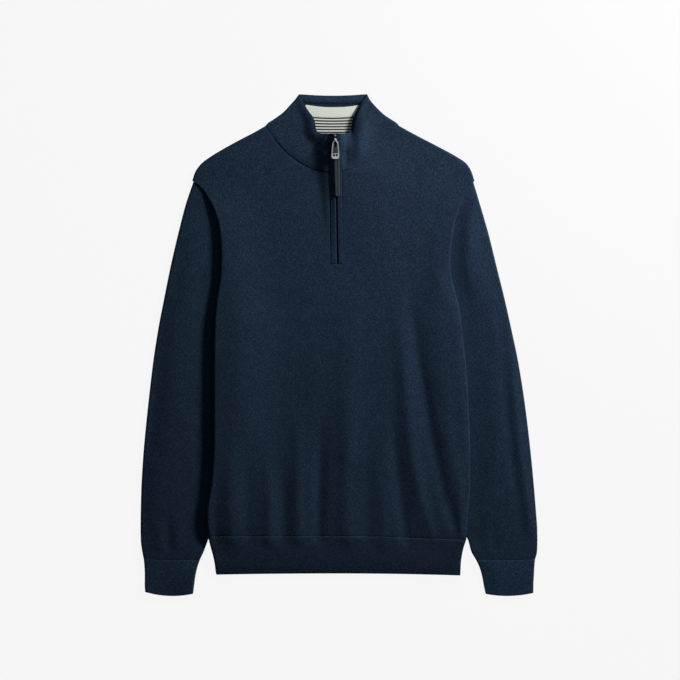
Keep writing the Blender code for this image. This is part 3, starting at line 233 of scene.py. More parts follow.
# Sleeves and cuffs: the two ends of each section, and how far a cuff's section bows down
SLEEVE_RIGHT = table(
    "outer_x outer_y inner_x inner_y",
    (-302.6, -331.9, -215.1, -331.9), (-304.9, -320.0, -209.6, -320.0), (-307.1, -303.0, -203.0, -302.5),
    (-307.5, -285.0, -196.5, -287.0), (-307.3, -262.0, -187.5, -266.0), (-306.4, -225.0, -181.5, -232.0),
    (-303.6, -175.0, -180.0, -188.0), (-299.3, -127.0, -178.5, -150.0), (-294.0, -77.0, -176.5, -114.0),
    (-287.8, -25.0, -174.5, -82.0), (-280.5, 25.0, -171.5, -54.0), (-271.7, 73.0, -168.0, -30.0),
    (-262.3, 122.0, -164.0, -9.0), (-251.7, 170.0, -161.0, 8.0), (-239.8, 218.0, -159.2, 23.0),
    (-228.1, 254.0, -158.7, 35.4),
)
SLEEVE_LEFT = table(
    "outer_x outer_y inner_x inner_y",
    (303.9, -331.9, 211.6, -331.9), (306.9, -320.0, 205.0, -320.0), (307.5, -303.0, 199.6, -301.5),
    (307.2, -285.0, 191.5, -287.0), (305.6, -262.0, 184.0, -266.0), (302.6, -225.0, 180.0, -232.0),
    (297.9, -175.0, 179.0, -188.0), (292.6, -127.0, 177.5, -150.0), (286.0, -77.0, 175.5, -114.0),
    (277.5, -25.0, 172.5, -82.0), (267.5, 25.0, 168.5, -54.0), (257.2, 73.0, 164.0, -30.0),
    (245.5, 122.0, 160.0, -9.0), (234.2, 170.0, 157.0, 8.0), (220.9, 218.0, 155.2, 23.0),
    (210.6, 254.0, 154.7, 35.4),
)
CUFF_RIGHT = table(
    "outer_x outer_y inner_x inner_y bow",
    (-302.5, -332.1, -215.2, -332.1, 0.0), (-301.4, -344.0, -219.3, -344.0, 0.6),
    (-301.0, -358.0, -222.5, -358.5, 1.6), (-301.1, -371.0, -224.4, -373.0, 3.0),
    (-300.4, -382.6, -225.9, -385.2, 4.8),
)
CUFF_LEFT = table(
    "outer_x outer_y inner_x inner_y bow",
    (303.8, -332.1, 211.9, -332.1, 0.0), (302.7, -344.0, 217.5, -344.0, 0.6),
    (302.0, -358.0, 221.7, -358.5, 1.4), (301.3, -371.0, 224.4, -373.0, 2.4),
    (301.2, -384.0, 227.1, -385.6, 3.9),
)

# Soft folds, each a height (negative for a trough), a half width and the points of its line, from
# its soft top to its end.
BODY_FOLDS = (
    (-1.9, 12.0, (-198, -170), (-198, -250), (-196, -290), (-194, -322)),
    (1.7, 11.0, (-169, -120), (-168, -215), (-166, -280), (-165, -322)),
    (-1.6, 11.0, (-142, -150), (-141, -230), (-141, -285), (-140, -322)),
    (2.1, 9.5, (-110, -140), (-109, -235), (-108, -285), (-108, -322)),
    (-2.0, 9.5, (-88, -165), (-87, -240), (-86, -285), (-87, -322)),
    (2.2, 9.5, (-65, -90), (-64, -200), (-63, -280), (-62, -322)),
    (-3.2, 10.0, (-24, -80), (-29, -170), (-31, -250), (-32, -322)),
    (2.7, 14.0, (14, -50), (13, -150), (11, -230), (12, -322)),
    (1.5, 20.0, (12, 130), (15, 20), (14, -90), (12, -200)),
    (-1.6, 11.0, (46, -150), (45, -220), (44, -285), (43, -322)),
    (1.3, 9.0, (67, -215), (69, -250), (70, -285), (71, -322)),
    (-2.6, 10.0, (81, -70), (84, -120), (88, -175), (95, -235), (102, -285), (106, -322)),
    (3.0, 11.5, (86, 120), (92, 40), (98, -20), (104, -80), (111, -149), (125, -235), (138, -285),
     (145, -322)),
    (-0.7, 5.0, (118, -225), (125, -255), (135, -285), (143, -315)),
    (-2.5, 9.5, (106, 150), (113, 60), (130, -63), (145, -149), (165, -235), (179, -285), (185, -322)),
    (1.2, 9.0, (160, -80), (170, -140), (184, -210), (194, -280), (197, -322)),
    (0.5, 30.0, (-110, 215), (-100, 150), (-100, 80)),
    (0.5, 26.0, (-150, 120), (-156, 40), (-160, -60)),
    (-0.4, 22.0, (-122, 40), (-120, -60), (-112, -140)),
    (-0.5, 16.0, (-60, 60), (-64, -30), (-66, -110)),
    (0.4, 20.0, (60, 210), (70, 140), (70, 70)),
    (-0.35, 15.0, (120, 240), (104, 180), (92, 120)),
)
BACK_FOLDS = (
    (1.5, 11.0, (-120, -20), (-128, -120), (-134, -220), (-138, -330)),
    (0.9, 8.0, (-92, -140), (-95, -220), (-95, -320)),
    (1.2, 12.0, (-40, -60), (-36, -170), (-34, -325)),
    (0.8, 9.0, (8, -170), (10, -250), (12, -330)),
    (1.4, 12.0, (70, 30), (76, -90), (88, -200), (96, -325)),
    (0.9, 10.0, (130, -90), (138, -200), (146, -310)),
    (0.8, 22.0, (-90, 250), (-30, 215), (40, 222), (95, 250)),
    (0.6, 16.0, (-60, 180), (-8, 160), (50, 176)),
)
SLEEVE_FOLDS = (
    (-1.0, 6.0, (-263, -250), (-265, -290), (-261, -322)),
    (0.6, 8.0, (-279, -255), (-281, -290), (-278, -320)),
    (0.6, 8.0, (-246, -252), (-247, -290), (-244, -320)),
    (-0.8, 14.0, (-268, 60), (-277, -40), (-283, -130), (-286, -190)),
    (0.5, 12.0, (-250, 60), (-258, -40), (-262, -140), (-262, -220)),
    (-0.5, 10.0, (-240, 180), (-246, 120), (-250, 70)),
    (1.9, 8.0, (256, 120), (263, 60), (268, -10), (273, -86), (281, -163), (288, -219), (296, -276),
     (298, -312)),
    (-0.9, 8.0, (246, 80), (253, 10), (258, -80), (267, -163), (274, -219), (282, -276), (285, -312)),
    (-0.6, 9.0, (222, 110), (226, 50), (232, -30)),
    (1.6, 15.0, (209, 60), (204, 110), (200, 150), (200, 200), (207, 252)),
    (-0.7, 6.0, (238, -265), (240, -295), (238, -320)),
    (0.5, 7.0, (228, -260), (229, -292), (227, -320)),
    (-0.7, 7.0, (222, -255), (214, -285), (207, -305)),
)
SLEEVE_UNDER_FOLDS = (
    (0.9, 9.0, (-262, 40), (-270, -60), (-274, -160), (-272, -240)),
    (0.8, 7.0, (-246, -230), (-249, -290), (-246, -330)),
    (0.9, 9.0, (252, 20), (262, -80), (268, -170), (272, -250)),
    (0.8, 7.0, (246, -240), (250, -290), (246, -330)),
)


def smooth(xs, ys, at):
    """A curve through the points (xs, ys) that doesn't overshoot them, read at the places at."""
    slope = np.diff(ys) / np.diff(xs)
    before, after = slope[:-1], slope[1:]
    bend = np.zeros_like(before)
    same = before * after > 0
    np.divide(2 * before * after, before + after, out=bend, where=same)
    tangent = np.concatenate(([slope[0]], bend, [slope[-1]]))
    at = np.clip(at, xs[0], xs[-1])
    i = np.clip(np.searchsorted(xs, at, side="right") - 1, 0, len(slope) - 1)
    width = xs[i + 1] - xs[i]
    t = (at - xs[i]) / width
    rise = (2 * t**3 - 3 * t**2 + 1) * ys[i] + (3 * t**2 - 2 * t**3) * ys[i + 1]
    return rise + width * ((t**3 - 2 * t**2 + t) * tangent[i] + (t**3 - t**2) * tangent[i + 1])


def read(source, column, at):
    """A column of a table that runs along y, at the heights at."""
    return smooth(source["y"], source[column], at)


def ease(t):
    """0 below 0, 1 above 1 and soft between."""
    t = np.clip(t, 0.0, 1.0)
    return t * t * (3.0 - 2.0 * t)


def lerp(a, b, t):
    """The value at share t of the way from a to b."""
    return a + (b - a) * t


def rounded(distance, reach, drop):
    """How far a folded edge has come down at a distance in from it: a quarter of an ellipse."""
    short = np.clip(1.0 - distance / reach, 0.0, 1.0)
    return drop * (1.0 - np.sqrt(1.0 - short**2))


def bump(at, middle, width, height):
    """A soft hump of a height round a middle, or a dip where height is negative."""
    return height * np.exp(-(((at - middle) / width) ** 2))


def along(points, shares):
    """Points at the given shares of a polyline's length."""
    steps = np.linalg.norm(np.diff(points[:, :2], axis=0), axis=1)
    length = np.concatenate(([0.0], np.cumsum(steps)))
    at = np.asarray(shares) * length[-1]
    return np.stack([np.interp(at, length, column) for column in points.T], axis=-1)


def fine(points, count=240):
    """A polyline's points, drawn as one soft curve."""
    points = np.asarray(points, float)
    index = np.arange(len(points), dtype=float)
    at = np.linspace(0, len(points) - 1, count)
    return np.stack([smooth(index, column, at) for column in points.T], axis=-1)


def blend(bottom, top, left, right, across, up):
    """A grid of points between four rows of edge points, at the shares across and up."""
    s = np.asarray(across)[None, :, None]
    t = np.asarray(up)[:, None, None]
    corners = lerp(lerp(bottom[0], bottom[-1], s), lerp(top[0], top[-1], s), t)
    return lerp(bottom[None], top[None], t) + lerp(left[:, None], right[:, None], s) - corners


def patch(bottom, top, left, right, across, up):
    """A grid of points between four edge curves, read at the shares across and up."""
    return blend(along(bottom, across), along(top, across), along(left, up), along(right, up), across, up)


def folds_at(folds, x, y):
    """Height that soft folds add at points: each fades in and out along its line."""
    total = np.zeros(np.shape(x))
    for height, width, *points in folds:
        path = fine(points, 14)
        steps = np.diff(path, axis=0)
        lengths = np.linalg.norm(steps, axis=1)
        start = np.concatenate(([0.0], np.cumsum(lengths)))
        near = np.full(np.shape(x), 1e9)
        place = np.zeros(np.shape(x))
        for (px, py), (dx, dy), length, before in zip(path, steps, lengths, start):
            t = np.clip(((x - px) * dx + (y - py) * dy) / length**2, 0.0, 1.0)
            gap = np.hypot(x - px - t * dx, y - py - t * dy)
            closer = gap < near
            near = np.where(closer, gap, near)
            place = np.where(closer, before + t * length, place)
        share = place / start[-1]
        fade = ease(share / 0.5) * ease((1.0 - share) / 0.1)
        total += height * fade * np.exp(-((near / width) ** 2))
    return total


def cockle(x, y, size=1.0):
    """The faint unevenness of knit that has been pressed and laid out, in millimetres."""
    slow = np.sin(x / 31.0 + 1.7 * np.sin(y / 67.0)) * np.sin(y / 43.0 + 1.3 * np.sin(x / 59.0 + 0.6))
    quick = np.sin(x / 11.3 + 2.1 * np.sin(y / 23.0 + 0.4)) * np.sin(y / 14.9 + 1.9 * np.sin(x / 19.0))
    return size * (0.22 * slow + 0.07 * quick)


# ---------------------------------------------------------------------- heights of the body


def inward(x, y):
    """How far in from the nearer side edge of the body a point lies."""
    return np.minimum(x - read(BODY, "left", y), read(BODY, "right", y) - x)


def below_shoulder(x, y):
    """How far a point lies inside the shoulders' outline."""
    step = 0.5
    left, right = read(SHOULDER, "left", y), read(SHOULDER, "right", y)
    lean_left = (left - read(SHOULDER, "left", y - step)) / step
    lean_right = (right - read(SHOULDER, "right", y - step)) / step
    return np.minimum((x - left) / np.sqrt(1.0 + lean_left**2), (right - x) / np.sqrt(1.0 + lean_right**2))


def raised(x, y):
    """Share of the edge's height that the body keeps at a point."""
    fall = np.where(x < NECK_MID, FALL[0], FALL[1])
    return 1.0 - ease((inward(x, y) - read(HEIGHTS, "plateau", y)) / fall)


def off_neckline(x, y):
    """Distance from the neckline's seam."""
    gap = np.full(np.shape(x), 1e9)
    for side in ("left", "right"):
        for px, py in neckline(side)[::4]:
            gap = np.minimum(gap, np.hypot(x - px, y - py))
    return gap


def flank(gap, rise, reach=FLANK):
    """Height of a ridge's steep side at a distance from its edge, where it starts flat."""
    return rise * (1.0 - ease((gap - CREST) / (reach[0] + reach[1] * rise)))


def zip_ridge(x, y):
    """How far the chest is lifted beside the zip: a steep flank to -X, a long slope to +X."""
    below = np.minimum(y, NECK_FRONT)
    left = flank(np.maximum(slit_left(y) - x, 0.0), ridge_left(below) - MIDDLE)
    right = (zip_surface(below) - MIDDLE) * (1.0 - ease((x - slit_right(y) - CREST) / SLOPE_RIGHT))
    return np.where(x < zip_x(y), left, right) * (1.0 - ease((y - NECK_FRONT) / RIDGE_FADE))


def side_top(x, y):
    """Top of the front panel at the side edge that is nearer to a point."""
    return np.where(x < NECK_MID, read(HEIGHTS, "left", y), read(HEIGHTS, "right", y))


def body_crown(x, y):
    """Top of the front panel or hem, without its rounded edges."""
    shoulder = ease((y - 225.0) / 60.0) * ease((np.abs(x - NECK_MID) - 40.0) / 60.0)
    crown = lerp(read(HEIGHTS, "middle", y), SHOULDER_TOP, shoulder)
    crown += (side_top(x, y) - crown) * raised(x, y)
    return crown + zip_ridge(x, y)


def body_top(x, y):
    """Outer surface of the front panel and of the hem's front."""
    inside = inward(x, y)
    full = read(HEIGHTS, "drop", y)
    armpit = ease((y - 40.0) / 90.0)
    lean = np.where(x > NECK_MID, lerp(0.3, 0.5, armpit), 0.0) * full
    drop = rounded(inside, EDGE, full - lean) + lean * (1.0 - ease(inside / lerp(11.0, 30.0, armpit)))
    shoulder = rounded(below_shoulder(x, y), EDGE, (SHOULDER_TOP - FOLD_GAP) / 2)
    soft = ease((inside - 2.0) / 14.0) * ease((below_shoulder(x, y) - 1.0) / 16.0)
    sewn = lerp(0.1, 1.0, ease((y - seam_y(x) + 34.0) / 42.0))
    relief = folds_at(BODY_FOLDS, x, y) * sewn + cockle(x, y)
    seam = bump(y, seam_y(x), SEAM_GROOVE, 0.35)
    return body_crown(x, y) + relief * soft - np.maximum(drop, shoulder) - seam


def body_under(x, y):
    """Outer surface of the back panel and of the hem's back, which face the floor."""
    top = side_top(x, y) - read(HEIGHTS, "drop", y) - FOLD_GAP
    lift = read(HEIGHTS, "lift", y)
    inside = inward(x, y)
    rise = rounded(inside, EDGE, top - lift) * ease((24.0 - y) / 20.0)
    shoulder = rounded(below_shoulder(x, y), EDGE, (SHOULDER_TOP - FOLD_GAP) / 2)
    soft = ease((inside - 4.0) / 16.0) * ease((below_shoulder(x, y) - 2.0) / 16.0)
    relief = (folds_at(BACK_FOLDS, x, y) + np.maximum(cockle(x, y), 0.0)) * soft
    return lift * raised(x, y) + np.maximum(rise, shoulder) + relief


def seam_y(x):
    """The hem band's seam."""
    return -296.5 - 5.0 * ease((x - 20.0) / 180.0)


def hem_y(x):
    """The hem's lower edge."""
    return -353.9 - np.where(x < 0, 1.8, 3.2) * (x / 190.0) ** 2


# ---------------------------------------------------------------------- the zip's line


def zip_x(y):
    """The middle of the zip."""
    return lerp(ZIP_FOOT[0], ZIP_HEAD[0], (y - ZIP_FOOT[1]) / (ZIP_HEAD[1] - ZIP_FOOT[1]))


def zip_share(y):
    """How far up the zip a point is, from 0 at its foot to 1 at its head."""
    return np.clip((y - ZIP_FOOT[1]) / (ZIP_HEAD[1] - ZIP_FOOT[1]), 0.0, None)


def zip_surface(y):
    """Height of the cloth beside the zip, which rises from the chest to the collar's top."""
    return MIDDLE + ZIP_RISE * zip_share(y)**RISE_POWER


def welt_fall(across, y, level):
    """How far the welt on the -X side has fallen at a distance from the zip, past a level part."""
    reach = ZIP_GAP / 2 + WELT_LEFT - level
    return WELT_FALL * zip_share(y) * np.clip((-level - across) / reach, 0.0, 1.0)


def ridge_left(y):
    """Height of the cloth beside the -X welt."""
    return zip_surface(y) - WELT_FALL * zip_share(y)


def slit_left(y):
    """Edge of the slit on the -X side."""
    return zip_x(y) - ZIP_GAP / 2 - WELT_LEFT - SEAM


def slit_right(y):
    """Edge of the slit on the +X side."""
    return zip_x(y) + ZIP_GAP / 2 + WELT_RIGHT + SEAM


SLIT = {"left": slit_left, "right": slit_right}

# ---------------------------------------------------------------------- outlines in plan


def line(start, end):
    """A straight edge curve between two points."""
    return np.array([start, end], float)


def neckline(side):
    """Front neckline from the shoulder to the zip, on one side."""
    x, y = NECKLINE["x"].copy(), NECKLINE["y"]
    if side == "right":
        x = 2 * NECK_MID - x
        x[0] = SHOULDER["right"][-1]
    x[-1] = SLIT[side](NECK_FRONT)
    return fine(np.stack([x, y], axis=-1))


def outline(source, side):
    """One side of a table that runs along y, as a curve of points."""
    y = np.linspace(source["y"][0], source["y"][-1], 400)
    return np.stack([read(source, side, y), y], axis=-1)


def armhole_seam(side):
    """The armhole's seam as the sleeve has it, from the shoulder down to the armpit."""
    out = -1.0 if side == "left" else 1.0
    seam = outline(ARMHOLE, side)[::-1]
    under = 2.2 * ease((seam[:, 1] - 190.0) / 25.0)
    seam[:, 0] += out * (SEAM - under)
    seam[:, 1] -= 0.4 * under
    return seam


# ---------------------------------------------------------------------- making meshes


def link(name, data):
    """Mesh or curve data as a new object of the scene."""
    made = bpy.data.objects.new(name, data)
    bpy.context.scene.collection.objects.link(made)
    return made


def seen_mesh(source):
    """A new mesh of what an object shows, with its modifiers applied."""
    bpy.context.view_layer.update()
    seen = source.evaluated_get(bpy.context.evaluated_depsgraph_get())
    return bpy.data.meshes.new_from_object(seen)


def freeze(piece):
    """Turn a piece's modifiers into its mesh."""
    mesh = seen_mesh(piece)
    piece.modifiers.clear()
    piece.data = mesh
    return piece


def soften(piece, width, segments, angle):
    """Round the edges that are sharper than an angle in degrees, and freeze the piece."""
    edge = piece.modifiers.new("edge", "BEVEL")
    edge.width = width * MM
    edge.segments = segments
    edge.limit_method = "ANGLE"
    edge.angle_limit = math.radians(angle)
    return freeze(piece)


def grid_of(x, y, z):
    """A grid of points from their places, each given along its rows, its columns or both."""
    return np.stack(np.broadcast_arrays(x, y, z), axis=-1)


def closed_up(grid, closed):
    """A grid with its first column again after its last, where it is closed."""
    return np.concatenate([grid, grid[:, :1]], axis=1) if closed else grid


def lengths(grid, axis):
    """Distance run along one axis of a grid of points, from its first row or column."""
    steps = np.linalg.norm(np.diff(grid, axis=axis), axis=-1)
    zero = np.zeros_like(np.take(steps, [0], axis=axis))
    return np.concatenate([zero, np.cumsum(steps, axis=axis)], axis=axis)


def shell(name, grid, wall, finish, closed=False, turned=False, skip=None, centre=None, offset=-1.0):
    """A piece of cloth through a grid of outer points, with its wall on the inner side.

    closed joins the last column to the first, turned faces the sheet the other way, and skip says
    which quads are left out. The map named cloth runs across and along the sheet in metres, from
    the middle column, or from the one named centre.
    """
    rows, columns = grid.shape[:2]
    laid = closed_up(grid, closed)
    across = lengths(laid, 1)
    middle = laid.shape[1] // 2 if centre is None else centre
    across = across - across[:, middle:middle + 1]
    up = np.broadcast_to(lengths(laid, 0)[:, middle:middle + 1], across.shape)
    i, j = np.meshgrid(np.arange(rows - 1), np.arange(laid.shape[1] - 1), indexing="ij")
    if skip is not None:
        i, j = i[~skip], j[~skip]
    i, j = i.ravel(), j.ravel()
    k = (j + 1) % columns
    low, high = i * columns, (i + 1) * columns
    quads = np.stack([low + j, low + k, high + k, high + j], axis=-1)
    corners = np.stack([
        np.stack([field[i, j], field[i, j + 1], field[i + 1, j + 1], field[i + 1, j]], axis=-1)
        for field in (across, up)], axis=-1)
    if turned:
        quads, corners = quads[:, ::-1], corners[:, ::-1]
    used, faces = np.unique(quads, return_inverse=True)
    mesh = bpy.data.meshes.new(name)
    points = grid.reshape(-1, 3)[used] * MM
    mesh.from_pydata(points.tolist(), [], faces.reshape(quads.shape).tolist())
    mesh.uv_layers.new(name="cloth").data.foreach_set("uv", (corners * MM).ravel())
    mesh.shade_smooth()
    mesh.materials.append(finish)
    piece = link(name, mesh)
    solid = piece.modifiers.new("wall", "SOLIDIFY")
    solid.thickness = wall * MM
    solid.offset = offset
    return soften(piece, EDGE_ROUND * wall, segments=2, angle=55.0)


def with_height(plan, height):
    """A grid of plan points with the height that a function gives them."""
    z = height(plan[..., 0], plan[..., 1])
    return np.concatenate([plan, z[..., None]], axis=-1)


def finish_piece(piece, body, slot, *nodes):
    """Set a piece on its body in place of CAD nodes, which are hidden; slot is not used."""
    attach(piece, body)
    if nodes:
        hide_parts(*nodes)


def declare(grid, closed=False):
    """Measure the run of each row and of each column of a sheet of cloth; the lengths are not used."""
    laid = closed_up(grid, closed)
    runs = lengths(laid, 1)[:, -1], lengths(laid, 0)[-1]


def sew(name, grid, wall, finish, slot, node, rests_on, closed=False, **how):
    """A sheet of the garment's cloth, in place of its CAD node."""
    piece = shell(name, grid, wall, finish_of(finish), closed=closed, **how)
    finish_piece(piece, "garment", slot, node)
    declare(grid, closed)
    return piece


# ---------------------------------------------------------------------- materials

BLACK, WHITE = (0, 0, 0), (1, 1, 1)


def feed(tree, socket, value):
    """Link a value to a socket, or set it there."""
    if isinstance(value, bpy.types.NodeSocket):
        tree.links.new(value, socket)
    elif value is not None:
        socket.default_value = value


def add_node(tree, kind, *inputs, **settings):
    """A new shader or geometry node, with its first inputs set or linked."""
    made = tree.nodes.new(kind)
    for key, value in settings.items():
        setattr(made, key, value)
    for socket, value in zip(made.inputs, inputs):
        feed(tree, socket, value)
    return made


def wire(tree, node, **inputs):
    """Set or link a node's inputs by their names, with _ for each space."""
    for name, value in inputs.items():
        feed(tree, node.inputs[name.replace("_", " ")], value)


def maths(tree, operation, *inputs):
    """The result of a Math node."""
    return add_node(tree, "ShaderNodeMath", *inputs, operation=operation).outputs[0]


def linear(tree, value, factor, plus):
    """A value times a factor, plus another value."""
    return maths(tree, "MULTIPLY_ADD", value, factor, plus)


def arch(tree, value, power):
    """1 where a value is 0, falling to 0 where it is -1 or 1."""
    return maths(tree, "SUBTRACT", 1.0, maths(tree, "POWER", maths(tree, "ABSOLUTE", value), power))


def ramp(tree, value, *stops):
    """A colour ramp through (place, colour) stops."""
    made = add_node(tree, "ShaderNodeValToRGB", value)
    points = made.color_ramp.elements
    while len(points) < len(stops):
        points.new(0.5)
    for point, (place, colour) in zip(points, stops):
        point.position = place
        point.color = (*colour, 1.0)
    return made.outputs[0]


def scaled(colour, factor):
    """A colour made darker or lighter."""
    return [c * factor for c in colour]


def mix(tree, share, a, b):
    """Two colours mixed, each a result or three numbers."""
    made = add_node(tree, "ShaderNodeMix", share, data_type="RGBA")
    for socket, value in ((made.inputs[6], a), (made.inputs[7], b)):
        feed(tree, socket, value if isinstance(value, bpy.types.NodeSocket) else (*value[:3], 1.0))
    return made.outputs[2]


def new_material(name, roughness=0.9, metallic=0.0, sheen=0.0):
    """A material with its Principled shader."""
    made = bpy.data.materials.new(name)
    made.use_nodes = True
    tree = made.node_tree
    shader = tree.nodes["Principled BSDF"]
    wire(tree, shader, Roughness=roughness, Metallic=metallic, Sheen_Weight=sheen, Sheen_Roughness=0.6)
    return made, tree, shader


def emboss(tree, shader, height, strength, distance):
    """Bumps on a material's surface, as deep as a distance in metres."""
    made = tree.nodes.new("ShaderNodeBump")
    wire(tree, made, Height=height, Strength=strength, Distance=distance)
    wire(tree, shader, Normal=made.outputs[0])


def cloth_place(tree):
    """Where a point lies across and along its cloth, in metres, and the map itself."""
    place = add_node(tree, "ShaderNodeUVMap", uv_map="cloth").outputs[0]
    parts = add_node(tree, "ShaderNodeSeparateXYZ", place)
    return place, parts.outputs[0], parts.outputs[1]


def object_place(tree):
    """Where a point lies in its object, in metres."""
    return tree.nodes.new("ShaderNodeTexCoord").outputs["Object"]


def noise(tree, vector, scale, detail=2.0, stretch=(1.0, 1.0, 1.0)):
    """Noise at a scale per metre, with the pattern drawn out by stretch."""
    placed = add_node(tree, "ShaderNodeMapping", vector)
    made = add_node(tree, "ShaderNodeTexNoise", placed.outputs[0])
    wire(tree, placed, Scale=stretch)
    wire(tree, made, Scale=scale, Detail=detail)
    return made.outputs[0]


def knit_material(name, look, rib=0.0, painted_light_scale=1.0):
    """Fine knit in mixed yarn: rows of small V stitches, lighter and darker fibres, painted shade in the
    gaps between stitches, a soft nap. Its brightness scale makes copies of the yarn painted lighter or
    darker.
    """
    made, tree, shader = new_material(name, sheen=look.nap)
    vector, u, v = cloth_place(tree)
    wale = maths(tree, "DIVIDE", u, look.wale)
    course = maths(tree, "DIVIDE", v, look.course)
    side = maths(tree, "ABSOLUTE", maths(tree, "SUBTRACT", maths(tree, "FRACT", wale), 0.5))
    leg = arch(tree, linear(tree, side, 4.0, -1.0), 2.0)
    slant = maths(tree, "FRACT", linear(tree, side, -1.6, course))
    loop = arch(tree, linear(tree, slant, 2.0, -1.0), 3.0)
    stitch = maths(tree, "MULTIPLY", maths(tree, "MAXIMUM", leg, 0.0), linear(tree, loop, 0.6, 0.4))
    cell = add_node(tree, "ShaderNodeCombineXYZ", maths(tree, "FLOOR", wale), maths(tree, "FLOOR", course))
    each = add_node(tree, "ShaderNodeTexWhiteNoise", cell.outputs[0]).outputs[0]
    yarn = noise(tree, vector, 1.0, 2.0, (260.0, 900.0, 1.0))
    cloud = noise(tree, vector, 1.0, 3.0, (55.0, 70.0, 1.0))
    fuzz = noise(tree, vector, 1.0, 3.0, (2600.0, 2600.0, 1.0))
    shade = linear(tree, each, 0.34, maths(tree, "MULTIPLY", yarn, 0.66))
    shade = linear(tree, maths(tree, "SUBTRACT", cloud, 0.5), 0.15, shade)
    # painted light and shade: this scale paints the yarn's colours lighter or darker than the knit itself
    base = scaled(look.colour, painted_light_scale)
    deep = scaled(base, 1.0 - look.heather)
    light = scaled(scaled(look.fleck, painted_light_scale), 1.0 + look.heather)
    tone = ramp(tree, shade, (0.22, deep), (0.5, base), (0.8, light))
    # painted shade: the colour goes darker in the gaps between the stitches
    tone = mix(tree, linear(tree, stitch, 0.45, 0.55), scaled(deep, 0.5), tone)
    height = stitch
    if rib:
        wave = maths(tree, "SINE", maths(tree, "MULTIPLY", wale, math.pi))
        height = linear(tree, wave, rib, stitch)
    emboss(tree, shader, linear(tree, fuzz, 0.35, height), look.relief, 0.0003)
    wire(tree, shader, Base_Color=tone, Roughness=linear(tree, fuzz, 0.15, 0.8),
         Specular_IOR_Level=0.04, Sheen_Tint=(0.45, 0.6, 0.85, 1.0))
    return made


def woven_material(name, colour, shadow, stripes=None):
    """Woven tape: threads over and under, in one colour or in stripes along it."""
    made, tree, shader = new_material(name, sheen=0.1)
    vector, u, v = cloth_place(tree)
    warp, weft = (maths(tree, "SINE", maths(tree, "MULTIPLY", way, math.pi / THREAD)) for way in (u, v))
    weave = linear(tree, maths(tree, "MULTIPLY", warp, weft), 0.5, 0.5)
    mottle = noise(tree, vector, 1.0, 3.0, (300.0, 700.0, 1.0))
    tone = ramp(tree, mottle, (0.3, scaled(colour, 0.88)), (0.7, colour))
    tone = mix(tree, linear(tree, weave, 0.3, 0.7), shadow, tone)
    if stripes:
        pitch, start, dark = stripes
        phase = maths(tree, "FRACT", maths(tree, "DIVIDE", maths(tree, "SUBTRACT", v, start), pitch))
        edge = linear(tree, mottle, 0.06, phase)
        tone = mix(tree, ramp(tree, edge, (0.44, BLACK), (0.5, WHITE)), tone, dark)
    emboss(tree, shader, weave, 0.5, 0.0002)
    wire(tree, shader, Base_Color=tone, Roughness=linear(tree, mottle, 0.2, 0.72))
    return made


def metal_material(name, colour, roughness, metallic=1.0):
    """Plated metal: fine brushing, small dulled spots and a painted highlight on its sharp convex edges."""
    made, tree, shader = new_material(name, metallic=metallic)
    place = object_place(tree)
    brush = noise(tree, place, 1.0, 3.0, (9000.0, 900.0, 9000.0))
    spots = noise(tree, place, 700.0, 4.0)
    highlight_pointiness = tree.nodes.new("ShaderNodeNewGeometry").outputs["Pointiness"]
    dull = ramp(tree, spots, (0.35, scaled(colour, 0.55)), (0.65, colour))
    # painted highlight: sharp convex edges get a colour half again as light
    edge = ramp(tree, highlight_pointiness, (0.5, BLACK), (0.62, WHITE))
    tone = mix(tree, edge, dull, [min(1.0, c * 1.5) for c in colour])
    emboss(tree, shader, brush, 0.2, 0.00005)
    wire(tree, shader, Base_Color=tone, Roughness=linear(tree, brush, 0.3, roughness - 0.15))
    return made


def strap_material(name, colour, edge_colour, half_width):
    """Flat leather strap: fine grain, with its raw edges in their own colour."""
    made, tree, shader = new_material(name)
    vector, u, _ = cloth_place(tree)
    grain = add_node(tree, "ShaderNodeTexVoronoi", vector)
    wire(tree, grain, Scale=1400.0)
    mottle = noise(tree, vector, 350.0, 3.0)
    tone = ramp(tree, mottle, (0.3, scaled(colour, 0.7)), (0.7, colour))
    out = maths(tree, "DIVIDE", maths(tree, "ABSOLUTE", u), half_width)
    rim = ramp(tree, linear(tree, mottle, 0.2, out), (0.78, BLACK), (1.02, WHITE))
    emboss(tree, shader, grain.outputs["Distance"], 0.35, 0.0002)
    wire(tree, shader, Base_Color=mix(tree, rim, tone, edge_colour),
         Roughness=linear(tree, mottle, 0.2, 0.62), Specular_IOR_Level=0.2)
    return made


def thread_material(name, colour):
    """Sewing thread: two plies turning round each other."""
    made, tree, shader = new_material(name, sheen=0.2)
    ply = noise(tree, object_place(tree), 2500.0)
    tone = ramp(tree, ply, (0.3, scaled(colour, 0.6)), (0.7, colour))
    wire(tree, shader, Base_Color=tone, Roughness=linear(tree, ply, 0.3, 0.5))
    return made


def floor_material(name, colour, glow):
    """Pale studio paper, evenly lit: part of its brightness is its own."""
    made, tree, shader = new_material(name, roughness=0.95)
    fibre = noise(tree, object_place(tree), 40.0, 4.0)
    tone = ramp(tree, fibre, (0.0, scaled(colour, 0.99)), (1.0, colour))
    wire(tree, shader, Base_Color=tone, Emission_Color=(1.0, 1.0, 1.0, 1.0), Emission_Strength=glow,
         Specular_IOR_Level=0.0)
    return made


# ---------------------------------------------------------------------- what repeats

RUN = "run along a line"


